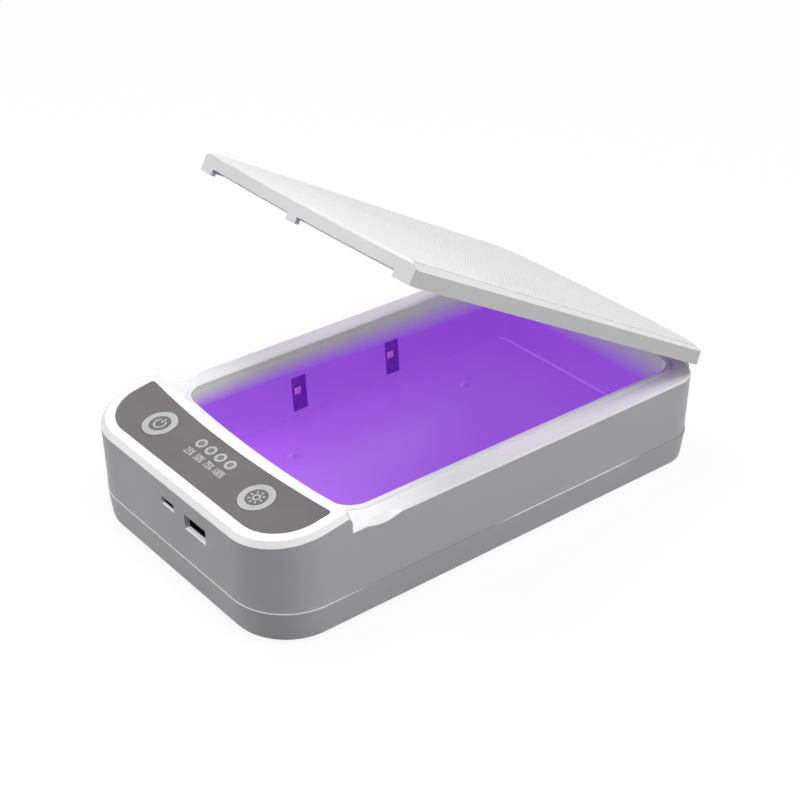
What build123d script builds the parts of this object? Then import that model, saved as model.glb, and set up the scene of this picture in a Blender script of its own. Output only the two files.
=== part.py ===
from build123d import *
import os
from math import asin, atan, cos, degrees, radians, sin, sqrt, tan

os.makedirs("parts", exist_ok=True)

# A box that disinfects a phone with ultraviolet lamps. The frame is: X across the box,
# +Y from the control panel at the front to the hinge at the rear, +Z up from the table.
# The lid is modelled standing open, on a plane of its own that turns about the hinge.

# ---------------------------------------------------------------- driving sizes, in mm
# Case
case_width = 126.0
case_length = 211.0
ledge_height = 40.0  # the rim the lid closes on
parting_height = 13.9  # where the lower and the upper case meet
foot_stand = 1.2  # how far the feet hold the case off the table
case_wall = 2.4
front_corner_radius = 23.5
rear_corner_radius = 14.0
upper_foot_inset = 0.5  # draft of the upper case, at its lower edge
lower_top_inset = 0.1  # the lower case stands a little proud there
lower_foot_inset = 1.5  # and at its floor
lower_edge_radius = 2.0
ledge_edge_bevel = 0.7
tongue_height = 1.2  # locating tongue of the lower case
tongue_width = 0.9

# Raised control block at the front
block_front_height = 42.2  # height of its top at the front edge
block_slope = 9.1  # degrees that the top climbs towards the rear
block_depth_at_sides = 35.0  # front face to the block's rear corners
block_sagitta = 3.9  # how far its rear edge bows to the front
block_edge_bevel = 1.8
panel_rim = 3.9  # white rim round the dark panel
panel_thickness = 0.8
panel_corner_radius = 1.5
deck_wall = 1.6  # case wall that is left under the panel

# Tray for the phone
tray_side_shelf = 10.5  # from the case's side to the tray's inside, at the lip
tray_rear_shelf = 6.0  # from the tray's inside to the rear face
tray_front_shelf = 6.4  # from the block's rear edge to the tray's inside
tray_floor = 12.0  # height of the floor
tray_corner_radius = 10.0
tray_wall = 1.3
tray_draft = 5.0  # degrees
tray_lip_width = 2.1
tray_lip_height = 0.8
tray_fillet = 2.5
rest_nub_radius = 2.2
rest_nub_height = 1.1
rest_nub_inset = 27.5  # from the tray's side
rest_nub_front_setback = 36.5  # from the block's rear corners
rest_nub_rear_setback = 43.5  # from the tray's rear wall

# Ultraviolet lamps in the tray's long walls
lamp_window_width = 7.9
lamp_window_height = 15.8
lamp_window_bottom = 13.0
lamp_front_setback = 59.3  # from the block's rear corners
lamp_rear_setback = 62.1  # from the tray's rear wall
lamp_board_margin = 1.6
lamp_board_thickness = 1.0
lamp_size = 3.5
lamp_height = 1.1
lamp_centre_height = 21.4

# Finger notches in the ledge
notch_setback = 13.8  # from the block's rear corners
notch_length = 17.0
notch_depth = 2.9
notch_drop = 2.0

# Control board, buttons and lights
board_underside = 33.9
board_thickness = 1.6
board_side_gap = 23.0  # from the case's side
board_depth = 24.0
board_front_gap = 1.2  # to the case's front wall
button_inset = 31.5  # from the case's side
button_setback = 17.2  # from the front face
button_radius = 6.9
button_ring_inner_radius = 4.3
button_ring_thickness = 0.5
button_proud = 0.15
button_travel = 0.5
button_clearance = 0.2
button_flange_width = 1.0
button_flange_thickness = 1.0
button_stem_radius = 2.6
collar_height = 1.2  # collar under the deck, at its lowest side
collar_wall = 1.5
stop_gap = 0.05
switch_width = 6.0
switch_height = 1.6
plunger_radius = 1.7
plunger_height = 0.7
plunger_depth = 0.9  # part of the plunger that is inside the switch
running_clearance = 0.05
light_setback = 21.2
light_pitch = 6.2
light_count = 4
light_radius = 1.25
light_ring_radius = 2.4
light_ring_inner_radius = 1.35
light_ring_thickness = 0.3
led_length = 2.0
led_width = 1.25
led_height = 0.8
pipe_gap = 0.3  # between a light and the foot of its pipe
chip_setback = 11.0
chip_width = 6.2
chip_depth = 5.0
chip_height = 1.5
coil_x = -17.0
coil_setback = 14.5
coil_width = 6.0
coil_height = 2.8
sensor_width = 2.9
sensor_depth = 1.3
sensor_height = 1.0
sensor_setback = 1.6

# Ports in the front wall
port_recess = 2.2  # shells stand this far behind the front face
port_clearance = 0.15
port_bevel = 0.25  # round each opening
usb_x = 17.2
usb_width = 13.1
usb_height = 5.7
usb_depth = 14.0
usb_metal = 0.3
usb_tongue_width = 11.1
usb_tongue_thickness = 1.8
usb_tongue_length = 8.4
micro_x = -0.4
micro_width = 7.6
micro_height = 2.7
micro_depth = 5.6
micro_metal = 0.25
micro_slant = 65.0  # degrees of the narrow port's sloping sides
micro_tongue_width = 3.7
micro_tongue_thickness = 0.6
micro_tongue_length = 3.6

# Hinge
hinge_behind = 1.5  # axis behind the rear face
hinge_below = 4.8  # axis below the ledge
hinge_inset = 27.0  # from the case's side to the middle of each hinge
knuckle_radius = 3.0
lid_knuckle_width = 12.0
case_knuckle_width = 8.0
pin_radius = 1.5
washer_thickness = 0.5
washer_radius = 2.7
hinge_gap = 0.3
lid_open_angle = 28.9
lid_last_angle = 90.0  # heels of the lid's arms meet the rear wall here
heel_length = 5.0
heel_gap = 0.1

# Lid
rim_gap = 0.3  # lid's rim over the ledge when it is shut
lid_front_gap = 1.0  # to the block's rear edge
lid_wall = 2.0
lid_side_height = 5.5
lid_draft = 8.0  # degrees, of the side wall
lid_front_rise = 2.0  # top of the border over the side wall, at the front
lid_rear_rise = 0.8
lid_border = 3.6
lid_step = 0.25  # the textured field stands proud of the border
lid_crown = 0.6
lid_hollow_depth = 4.9
lid_tab_relief = 2.5
lid_centre_tab = 5.4
lid_corner_tab = 9.5
lid_arm_drop = 0.8  # the arms' tops stand this far under the border's foot
lid_front_bevel = 0.9  # of the front's top edge, to the rear
lid_front_bevel_height = 1.5
lid_corner_bevel = 2.2  # width of the bevelled front corners
liner_recess = 1.7
liner_thickness = 1.2
liner_gap = 0.3
magnet_radius = 3.0
magnet_height = 1.6
magnet_offset = 4.5  # from the button's centre line
magnet_setback = 6.5

# Fasteners and feet
screw_radius = 1.4
screw_head_radius = 2.6
screw_head_height = 1.6
screw_clearance = 0.05
boss_radius = 3.0
small_boss_radius = 2.2
case_screw_front_inset = 15.0
case_screw_front_setback = 15.5
case_screw_rear_setback = 27.5
case_screw_length = 16.0
head_seat_depth = 1.8  # seats of the case's and the tray's screws, up from the underside
tray_screw_inset = 18.5  # from the tray's side
tray_screw_front_setback = 30.5
tray_screw_rear_setback = 25.5
tray_screw_length = 6.8
tray_screw_hold = 2.6  # length of that screw inside the tray's foot
board_screw_inset = 2.5  # of the front pair, from the board's side
board_screw_button_gap = 13.5  # of the rear pair, in from the buttons' centre lines
board_screw_setback = 3.0
board_screw_length = 5.0
lid_screw_inset = 15.0
lid_screw_setback = 12.0
lid_screw_length = 3.4
lid_boss_sink = 0.5  # the bosses run this far into the lid's roof
small_screw_radius = 1.0
small_head_radius = 2.0
small_head_height = 0.9
countersink_angle = 82.0
foot_radius = 6.0
foot_seat_depth = 0.8
foot_clearance = 0.15
foot_edge_bevel = 0.4
foot_side_inset = 23.0
foot_end_inset = 23.5

# ---------------------------------------------------------------- places worked out
half_width = case_width / 2
half_length = case_length / 2
front_y = -half_length
rear_y = half_length
floor_top = foot_stand + case_wall

block_rear_y = front_y + block_depth_at_sides
block_arc_radius = (half_width**2 + block_sagitta**2) / (2 * block_sagitta)
arc_centre_y = block_rear_y - block_sagitta + block_arc_radius
deck_drop = panel_thickness + deck_wall
slope = radians(block_slope)
deck_plane = Plane(
    origin=(0, front_y, block_front_height),
    x_dir=(1, 0, 0),
    z_dir=(0, -sin(slope), cos(slope)),
)
slab_size = 2 * case_length
block_peak = block_front_height + block_depth_at_sides * tan(slope)

tray_half_width = half_width - tray_side_shelf
tray_rear_y = rear_y - tray_rear_shelf
notch_y = block_rear_y + notch_setback
tray_arc_radius = block_arc_radius - tray_front_shelf
tray_slack = 0.2  # between the tray's wall and the opening in the deck
tray_top = ledge_height + tray_lip_height
tray_depth = tray_top - tray_floor
tray_floor_inset = tray_depth * tan(radians(tray_draft))

board_top = board_underside + board_thickness
board_front_y = front_y + case_wall + board_front_gap
board_rear_y = board_front_y + board_depth
switch_top = board_top + switch_height

hinge_y = rear_y + hinge_behind
hinge_z = ledge_height - hinge_below
open_angle = radians(lid_open_angle)
lid_plane = Plane(
    origin=(0, hinge_y, hinge_z),
    x_dir=(1, 0, 0),
    z_dir=(0, sin(open_angle), cos(open_angle)),
)
rim_level = hinge_below + rim_gap  # the lid's rim over the hinge axis, on the lid's plane
lid_rear = rear_y - hinge_y  # the lid's rear face on its own plane
lid_arc_radius = block_arc_radius - lid_front_gap
lid_arc_centre = arc_centre_y - hinge_y
lid_length = rear_y - (arc_centre_y - lid_arc_radius)
lid_tilt = atan((lid_front_rise - lid_rear_rise) / lid_length)
crown_plane = Plane(
    origin=lid_plane.from_local_coords((0, lid_rear, rim_level + lid_side_height + lid_rear_rise)),
    x_dir=(1, 0, 0),
    z_dir=(0, sin(open_angle + lid_tilt), cos(open_angle + lid_tilt)),
)
lid_side_inset = lid_side_height * tan(radians(lid_draft))
liner_level = rim_level + liner_recess
lid_front = lid_rear - lid_length  # the lid's front edge on the centre line, on its own plane
lid_corner_y = lid_arc_centre - sqrt(lid_arc_radius**2 - half_width**2)
lid_front_top = rim_level + lid_side_height + lid_front_rise + lid_step + lid_crown
screw_seat = foot_stand + head_seat_depth
case_screw_rear_x = tray_half_width + tray_wall + tray_slack / 2 + boss_radius

button_x = half_width - button_inset
button_y = front_y + button_setback
light_y = front_y + light_setback
chip_y = front_y + chip_setback
coil_y = front_y + coil_setback
hinge_x = half_width - hinge_inset
magnet_x = button_x - magnet_offset
lid_screw_x = half_width - lid_screw_inset
board_width = case_width - 2 * board_side_gap
board_screw_front_x = board_width / 2 - board_screw_inset
board_screw_rear_x = button_x - board_screw_button_gap
foot_x = half_width - foot_side_inset
foot_y = half_length - foot_end_inset
rest_nub_x = tray_half_width - rest_nub_inset
rest_nub_front_y = block_rear_y + rest_nub_front_setback
rest_nub_rear_y = tray_rear_y - rest_nub_rear_setback
tray_screw_x = tray_half_width - tray_screw_inset
tray_screw_front_y = block_rear_y + tray_screw_front_setback
tray_screw_rear_y = tray_rear_y - tray_screw_rear_setback
lamp_front_y = block_rear_y + lamp_front_setback
lamp_rear_y = tray_rear_y - lamp_rear_setback

case_screws_at = [
    (side * x, y)
    for x, y in (
        (half_width - case_screw_front_inset, front_y + case_screw_front_setback),
        (case_screw_rear_x, rear_y - case_screw_rear_setback),
    )
    for side in (-1, 1)
]
tray_screws_at = [
    (x, y) for y in (tray_screw_front_y, tray_screw_rear_y) for x in (-tray_screw_x, tray_screw_x)
]
board_screws_at = [
    (side * x, y)
    for side in (-1, 1)
    for x, y in (
        (board_screw_front_x, board_front_y + board_screw_setback),
        (board_screw_rear_x, board_rear_y - board_screw_setback),
    )
]
lid_screws_at = [
    (x, y)
    for y in (lid_front + lid_screw_setback, lid_rear - lid_screw_setback)
    for x in (-lid_screw_x, lid_screw_x)
]
feet = {
    "front_left": (-foot_x, -foot_y),
    "front_right": (foot_x, -foot_y),
    "rear_left": (-foot_x, foot_y),
    "rear_right": (foot_x, foot_y),
}
buttons = {"left": -button_x, "right": button_x}
light_xs = [(i - (light_count - 1) / 2) * light_pitch for i in range(light_count)]
lamps = {
    "left_front": (-1, lamp_front_y),
    "left_rear": (-1, lamp_rear_y),
    "right_front": (1, lamp_front_y),
    "right_rear": (1, lamp_rear_y),
}


def deck_height(y):
    """Height of the control block's sloping top at a place along the box."""
    return block_front_height + (y - front_y) * tan(slope)


# ---------------------------------------------------------------- shared outlines
def case_outline(inset):
    """Plan of the case: wide round corners in front, tighter ones behind."""
    with BuildSketch(mode=Mode.PRIVATE) as plan:
        Rectangle(case_width - 2 * inset, case_length - 2 * inset)
        fillet(plan.vertices().group_by(Axis.Y)[0], front_corner_radius - inset)
        fillet(plan.vertices().group_by(Axis.Y)[-1], rear_corner_radius - inset)
    return plan.sketch


def tray_outline(growth):
    """Plan of the tray: a rounded rectangle whose front edge follows the block's arc."""
    corner = tray_corner_radius + growth
    reach = tray_rear_y + growth
    with BuildSketch(mode=Mode.PRIVATE) as plan:
        with Locations((0, (reach + front_y) / 2)):
            Rectangle(2 * (tray_half_width + growth), reach - front_y)
        with Locations((0, arc_centre_y)):
            Circle(tray_arc_radius + growth, mode=Mode.INTERSECT)
        fillet(plan.vertices(), corner)
    return plan.sketch


def panel_outline(growth):
    """Plan of the dark panel: the block's plan, set in by its rim."""
    inset = block_edge_bevel + panel_rim - growth
    with BuildSketch(mode=Mode.PRIVATE) as plan:
        add(case_outline(inset))
        with Locations((0, arc_centre_y)):
            Circle(block_arc_radius + panel_rim - growth, mode=Mode.SUBTRACT)
        fillet(plan.vertices().group_by(Axis.Y)[-1], panel_corner_radius)
    return plan.sketch


def lid_outline(inset, rear_edge):
    """Plan of the lid, left long in front, where an arc trims it."""
    length = lid_length + lid_wall
    with BuildSketch(mode=Mode.PRIVATE) as plan:
        with Locations((0, rear_edge - inset - length / 2)):
            Rectangle(case_width - 2 * inset, length)
        fillet(plan.vertices().group_by(Axis.Y)[-1], rear_corner_radius - inset)
    return plan.sketch


def save(piece, name):
    """Label a finished piece and write it to its own file."""
    piece.part.label = name
    export_step(piece.part, f"parts/{name}.step")


# ---------------------------------------------------------------- lower case
with BuildPart() as lower_case:
    with BuildSketch(Plane.XY.offset(foot_stand)):
        add(case_outline(lower_foot_inset))
    with BuildSketch(Plane.XY.offset(parting_height)):
        add(case_outline(lower_top_inset))
    loft()
    fillet(lower_case.faces().sort_by(Axis.Z)[0].edges(), lower_edge_radius)
    with BuildSketch(Plane.XY.offset(floor_top)):
        add(case_outline(lower_foot_inset + case_wall))
    with BuildSketch(Plane.XY.offset(parting_height)):
        add(case_outline(lower_top_inset + case_wall))
    loft(mode=Mode.SUBTRACT)
    # locating tongue that rises into the upper case
    tongue_inset = lower_top_inset + case_wall - tongue_width
    with BuildSketch(Plane.XY.offset(parting_height)):
        add(case_outline(tongue_inset))
        add(case_outline(tongue_inset + tongue_width), mode=Mode.SUBTRACT)
    extrude(amount=tongue_height)
    # posts for the case screws, and lower ones that carry the tray
    with BuildSketch(Plane.XY.offset(floor_top)):
        with Locations(*case_screws_at):
            Circle(boss_radius)
    extrude(amount=parting_height - floor_top)
    tray_post_top = screw_seat + tray_screw_length - tray_screw_hold
    with BuildSketch(Plane.XY.offset(floor_top)):
        with Locations(*tray_screws_at):
            Circle(boss_radius + tray_wall)
    extrude(amount=tray_post_top - floor_top)
    # stiffening ribs on the floor between the tray posts
    with BuildSketch(Plane.XY.offset(floor_top)):
        with Locations((0, tray_screw_front_y), (0, tray_screw_rear_y)):
            Rectangle(2 * tray_screw_x, tray_wall)
    extrude(amount=(tray_post_top - floor_top) / 2)
    with Locations(*[Location((x, y, 0)) for x, y in case_screws_at + tray_screws_at]):
        Cylinder(
            screw_radius + port_clearance,
            parting_height,
            align=(Align.CENTER, Align.CENTER, Align.MIN),
            mode=Mode.SUBTRACT,
        )
    with Locations(*[Location((x, y, screw_seat)) for x, y in case_screws_at + tray_screws_at]):
        Cylinder(
            screw_head_radius + port_clearance,
            screw_seat,
            align=(Align.CENTER, Align.CENTER, Align.MAX),
            mode=Mode.SUBTRACT,
        )
    # shallow seats for the rubber feet
    with BuildSketch(Plane.XY.offset(foot_stand)):
        with Locations(*feet.values()):
            Circle(foot_radius + foot_clearance)
    extrude(amount=foot_seat_depth, mode=Mode.SUBTRACT)
save(lower_case, "lower_case")

# ---------------------------------------------------------------- upper case
with BuildPart() as block_hollow:
    with BuildSketch(Plane.XY.offset(ledge_height - case_wall)):
        add(case_outline(case_wall))
        with Locations((0, arc_centre_y)):
            Circle(block_arc_radius + case_wall, mode=Mode.SUBTRACT)
    extrude(amount=block_peak - ledge_height + case_wall)
    with BuildSketch(deck_plane.offset(-deck_drop)):
        Rectangle(slab_size, slab_size)
    extrude(amount=block_peak, mode=Mode.SUBTRACT)

with BuildPart() as panel_seat:
    with BuildSketch(Plane.XY.offset(ledge_height - case_wall)):
        add(panel_outline(port_clearance))
    extrude(amount=block_peak)
    with BuildSketch(deck_plane.offset(-panel_thickness)):
        Rectangle(slab_size, slab_size)
    extrude(amount=block_peak, mode=Mode.INTERSECT)

button_hole_radius = button_radius + button_clearance
flange_radius = button_hole_radius + button_flange_width
collar_radius = flange_radius + button_clearance + collar_wall
flange_top = deck_height(button_y - collar_radius) - deck_drop - collar_height
collar_bottom = flange_top - button_flange_thickness - button_travel

with BuildPart() as deck_hangers:
    # collars that guide the buttons
    with BuildSketch(Plane.XY.offset(collar_bottom)):
        with Locations((-button_x, button_y), (button_x, button_y)):
            Circle(collar_radius)
    extrude(amount=block_peak - collar_bottom)
    # posts for the control board
    with BuildSketch(Plane.XY.offset(board_top)):
        with Locations(*board_screws_at):
            Circle(small_boss_radius)
    extrude(amount=block_peak - board_top)
    # posts for the two case screws under the block
    with BuildSketch(Plane.XY.offset(parting_height)):
        with Locations(*case_screws_at[:2]):
            Circle(boss_radius)
    extrude(amount=block_peak - parting_height)
    # all of them end inside the deck's wall
    with BuildSketch(deck_plane.offset(-deck_drop + deck_wall / 2)):
        Rectangle(slab_size, slab_size)
    extrude(amount=block_peak, mode=Mode.SUBTRACT)

notch_ledge_radius = (notch_length**2 / 4 + notch_depth**2) / (2 * notch_depth)
notch_out = notch_ledge_radius - notch_depth
notch_up = (notch_length**2 / 4 - notch_drop**2) / (2 * notch_drop)
notch_radius = sqrt(notch_ledge_radius**2 + notch_up**2)

with BuildPart() as control_block:
    with BuildSketch(Plane.XY.offset(parting_height)):
        add(case_outline(upper_foot_inset))
    with BuildSketch(Plane.XY.offset(ledge_height)):
        add(case_outline(0))
    loft()
    with BuildSketch(Plane.XY.offset(ledge_height)):
        add(case_outline(0))
    extrude(amount=block_peak - ledge_height + case_wall)
    with BuildSketch(Plane.XY.offset(parting_height)):
        with Locations((0, arc_centre_y)):
            Circle(block_arc_radius)
    extrude(amount=block_peak, mode=Mode.SUBTRACT)
    with BuildSketch(deck_plane):
        Rectangle(slab_size, slab_size)
    extrude(amount=block_peak, mode=Mode.SUBTRACT)
    deck_face = control_block.faces().sort_by(Axis.Z)[-1]
    chamfer(deck_face.edges().sort_by(Axis.Y)[:-1], block_edge_bevel)

with BuildPart() as upper_case:
    with BuildSketch(Plane.XY.offset(parting_height)):
        add(case_outline(upper_foot_inset))
    with BuildSketch(Plane.XY.offset(ledge_height)):
        add(case_outline(0))
    loft()
    chamfer(upper_case.faces().sort_by(Axis.Z)[-1].edges(), ledge_edge_bevel)
    # cut back to the block's rear arc, where the block joins on
    with BuildSketch(Plane.XY.offset(parting_height)):
        with Locations((0, arc_centre_y)):
            Circle(block_arc_radius)
    extrude(amount=block_peak, mode=Mode.INTERSECT)
    add(control_block.part)

    # hollow inside, with the block's own hollow above it
    with BuildSketch(Plane.XY.offset(parting_height)):
        add(case_outline(upper_foot_inset + case_wall))
    with BuildSketch(Plane.XY.offset(ledge_height - case_wall)):
        add(case_outline(case_wall))
    loft(mode=Mode.SUBTRACT)
    add(block_hollow.part, mode=Mode.SUBTRACT)
    add(panel_seat.part, mode=Mode.SUBTRACT)
    # rebate over the lower case's tongue
    rebate_inset = tongue_inset - port_clearance
    with BuildSketch(Plane.XY.offset(parting_height)):
        add(case_outline(rebate_inset))
    extrude(amount=tongue_height + port_clearance, mode=Mode.SUBTRACT)
    # opening for the tray
    with BuildSketch(Plane.XY.offset(ledge_height - 2 * case_wall)):
        add(tray_outline(tray_wall + tray_slack))
    extrude(amount=3 * case_wall, mode=Mode.SUBTRACT)

    # collars and posts under the deck, the buttons' holes and the light pipes' holes
    add(deck_hangers.part)
    with BuildSketch(Plane.XY.offset(flange_top)):
        with Locations((-button_x, button_y), (button_x, button_y)):
            Circle(button_hole_radius)
    extrude(amount=block_peak, mode=Mode.SUBTRACT)
    with BuildSketch(Plane.XY.offset(flange_top)):
        with Locations((-button_x, button_y), (button_x, button_y)):
            Circle(flange_radius + button_clearance)
    extrude(amount=collar_bottom - flange_top, mode=Mode.SUBTRACT)
    with BuildSketch(Plane.XY.offset(board_top)):
        with Locations(*[(x, light_y) for x in light_xs]):
            Circle(light_radius + running_clearance)
    extrude(amount=block_peak, mode=Mode.SUBTRACT)
    with Locations(*[Location((x, y, board_top)) for x, y in board_screws_at]):
        Cylinder(
            small_screw_radius + screw_clearance,
            board_screw_length - board_thickness + stop_gap,
            align=(Align.CENTER, Align.CENTER, Align.MIN),
            mode=Mode.SUBTRACT,
        )
    # posts for the two case screws at the rear
    with BuildSketch(Plane.XY.offset(parting_height)):
        with Locations(*case_screws_at[2:]):
            Circle(boss_radius)
    extrude(amount=ledge_height - case_wall / 2 - parting_height)
    with Locations(*[Location((x, y, parting_height)) for x, y in case_screws_at]):
        Cylinder(
            screw_radius + screw_clearance,
            screw_seat + case_screw_length - parting_height + stop_gap,
            align=(Align.CENTER, Align.CENTER, Align.MIN),
            mode=Mode.SUBTRACT,
        )

    # ports: an opening through the wall, and a bevel round it
    usb_z = board_underside - usb_height / 2
    micro_z = board_underside - micro_height / 2
    port_openings = (
        (usb_x, usb_z, usb_width + 2 * port_clearance, usb_height + 2 * port_clearance),
        (micro_x, micro_z, micro_width + 2 * port_clearance, micro_height + 2 * port_clearance),
    )
    for x, z, width, height in port_openings:
        with BuildSketch(Plane.XZ.offset(half_length)):
            with Locations((x, z)):
                RectangleRounded(width, height, 2 * port_clearance)
        extrude(amount=-2 * case_wall, mode=Mode.SUBTRACT)
        with BuildSketch(Plane.XZ.offset(half_length)):
            with Locations((x, z)):
                RectangleRounded(width + 2 * port_bevel, height + 2 * port_bevel, 2 * port_bevel)
        extrude(amount=stop_gap - port_bevel, taper=45, mode=Mode.SUBTRACT)

    # finger notches
    with Locations(
        (-half_width - notch_out, notch_y, ledge_height + notch_up),
        (half_width + notch_out, notch_y, ledge_height + notch_up),
    ):
        Sphere(notch_radius, mode=Mode.SUBTRACT)

    # hinge: a pad inside the rear wall, pockets for the lid's knuckles, and its own knuckles
    pocket_width = lid_knuckle_width + 2 * (washer_thickness + 2 * stop_gap)
    pocket_radius = knuckle_radius + hinge_gap
    for x in (-hinge_x, hinge_x):
        pad_depth = case_wall + stop_gap
        with Locations((x, rear_y - case_wall, hinge_z)):
            Box(pocket_width + case_wall, pad_depth, 2 * pocket_radius + case_wall)
        with Locations(Location((x, hinge_y, hinge_z), (0, 90, 0))):
            Cylinder(pocket_radius, pocket_width, mode=Mode.SUBTRACT)
        for side in (-1, 1):
            start = x + side * pocket_width / 2
            knuckle_plane = Plane(origin=(start, hinge_y, hinge_z), x_dir=(0, side, 0), z_dir=(side, 0, 0))
            with BuildSketch(knuckle_plane):
                Circle(knuckle_radius)
                with Locations((-side * (hinge_behind + case_wall / 4), -knuckle_radius)):
                    Rectangle(case_wall / 2, 4 * knuckle_radius)
                make_hull()
            extrude(amount=case_knuckle_width)
        with Locations(Location((x, hinge_y, hinge_z), (0, 90, 0))):
            Cylinder(
                pin_radius + running_clearance / 2,
                pocket_width + 2 * case_knuckle_width + case_wall,
                mode=Mode.SUBTRACT,
            )
save(upper_case, "upper_case")

# ---------------------------------------------------------------- tray
lamp_pad_face = tray_half_width + tray_wall / 2  # outer face of the pads for the lamps' boards
lamp_board_width = lamp_window_width + 2 * lamp_board_margin
lamp_board_height = lamp_window_height + 2 * lamp_board_margin
lamp_board_centre = lamp_window_bottom + lamp_window_height / 2

with BuildPart() as tray_cavity:
    with BuildSketch(Plane.XY.offset(tray_top)):
        add(tray_outline(0))
    extrude(amount=-tray_depth, taper=tray_draft)
    fillet(tray_cavity.faces().sort_by(Axis.Z)[0].edges(), tray_fillet)

with BuildPart() as inner_tray:
    with BuildSketch(Plane.XY.offset(tray_top)):
        add(tray_outline(tray_wall))
    extrude(amount=-tray_depth - tray_wall, taper=tray_draft)
    fillet(inner_tray.faces().sort_by(Axis.Z)[0].edges(), tray_fillet)
    # pads that carry the lamps' boards
    pad_depth = tray_wall + tray_floor_inset
    for side, y in lamps.values():
        with Locations((side * (lamp_pad_face - pad_depth / 2), y, lamp_board_centre)):
            Box(pad_depth, lamp_board_width, lamp_board_height)
    # lip that lies on the ledge
    with BuildSketch(Plane.XY.offset(ledge_height)):
        add(tray_outline(tray_lip_width))
    extrude(amount=tray_lip_height)
    chamfer(inner_tray.faces().sort_by(Axis.Z)[-1].edges(), tray_lip_height / 2)
    # feet that meet the lower case's posts
    with BuildSketch(Plane.XY.offset(tray_post_top)):
        with Locations(*tray_screws_at):
            Circle(boss_radius)
    extrude(amount=tray_floor - tray_wall / 2 - tray_post_top)
    add(tray_cavity.part, mode=Mode.SUBTRACT)
    # small domes that hold the phone off the floor
    dome_radius = (rest_nub_radius**2 + rest_nub_height**2) / (2 * rest_nub_height)
    dome_foot_angle = degrees(asin((dome_radius - rest_nub_height - tray_wall / 2) / dome_radius))
    with Locations(
        *[
            (x, y, tray_floor - tray_wall / 2)
            for x in (-rest_nub_x, rest_nub_x)
            for y in (rest_nub_front_y, rest_nub_rear_y)
        ]
    ):
        Sphere(
            dome_radius,
            arc_size1=dome_foot_angle,
            align=(Align.CENTER, Align.CENTER, Align.MIN),
        )
    # lamp windows
    for side, y in lamps.values():
        with Locations((side * tray_half_width, y, lamp_board_centre)):
            Box(4 * pad_depth, lamp_window_width, lamp_window_height, mode=Mode.SUBTRACT)
    with Locations(*[Location((x, y, tray_post_top)) for x, y in tray_screws_at]):
        Cylinder(
            screw_radius + screw_clearance,
            tray_floor - tray_wall - tray_post_top,
            align=(Align.CENTER, Align.CENTER, Align.MIN),
            mode=Mode.SUBTRACT,
        )
save(inner_tray, "inner_tray")

# ---------------------------------------------------------------- ultraviolet lamps
for name, (side, y) in lamps.items():
    with BuildPart() as lamp_board:
        board_x = side * (lamp_pad_face + lamp_board_thickness / 2)
        with Locations((board_x, y, lamp_board_centre)):
            Box(lamp_board_thickness, lamp_board_width, lamp_board_height)
    save(lamp_board, f"lamp_board_{name}")
    with BuildPart() as lamp:
        with Locations((side * (lamp_pad_face - lamp_height / 4), y, lamp_centre_height)):
            Box(lamp_height / 2, lamp_size, lamp_size)
        lens_at = (side * (lamp_pad_face - lamp_height / 2), y, lamp_centre_height)
        with Locations(Location(lens_at, (0, -side * 90, 0))):
            Cone(
                lamp_size / 2 - lamp_height / 8,
                lamp_size / 3,
                lamp_height / 2,
                align=(Align.CENTER, Align.CENTER, Align.MIN),
            )
    save(lamp, f"uv_lamp_{name}")

# ---------------------------------------------------------------- control panel
with BuildPart() as control_panel:
    with BuildSketch(Plane.XY.offset(ledge_height - case_wall)):
        add(panel_outline(0))
        with Locations((-button_x, button_y), (button_x, button_y)):
            Circle(button_hole_radius, mode=Mode.SUBTRACT)
        with Locations(*[(x, light_y) for x in light_xs]):
            Circle(light_radius + running_clearance, mode=Mode.SUBTRACT)
    extrude(amount=block_peak)
    with BuildSketch(deck_plane.offset(-panel_thickness)):
        Rectangle(slab_size, slab_size)
    extrude(amount=panel_thickness, mode=Mode.INTERSECT)
    # seats for the rings round the lights
    with BuildSketch(deck_plane.offset(-light_ring_thickness)):
        with Locations(*[(x, (light_y - front_y) / cos(slope)) for x in light_xs]):
            Circle(light_ring_radius + stop_gap)
    extrude(amount=panel_thickness, mode=Mode.SUBTRACT)
save(control_panel, "control_panel")

with BuildPart() as light_rings:
    with BuildSketch(deck_plane.offset(-light_ring_thickness)):
        with Locations(*[(x, (light_y - front_y) / cos(slope)) for x in light_xs]):
            Circle(light_ring_radius)
            Circle(light_ring_inner_radius, mode=Mode.SUBTRACT)
    extrude(amount=light_ring_thickness)
save(light_rings, "light_rings")

for i, x in enumerate(light_xs):
    percent = round(100 * (i + 1) / light_count)
    with BuildPart() as light_pipe:
        led_top = board_top + led_height
        with BuildSketch(Plane.XY.offset(led_top + pipe_gap)):
            with Locations((x, light_y)):
                Circle(light_radius)
        extrude(amount=block_peak - led_top)
        with BuildSketch(deck_plane):
            Rectangle(slab_size, slab_size)
        extrude(amount=block_peak, mode=Mode.SUBTRACT)
    save(light_pipe, f"light_pipe_{percent}")

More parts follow.
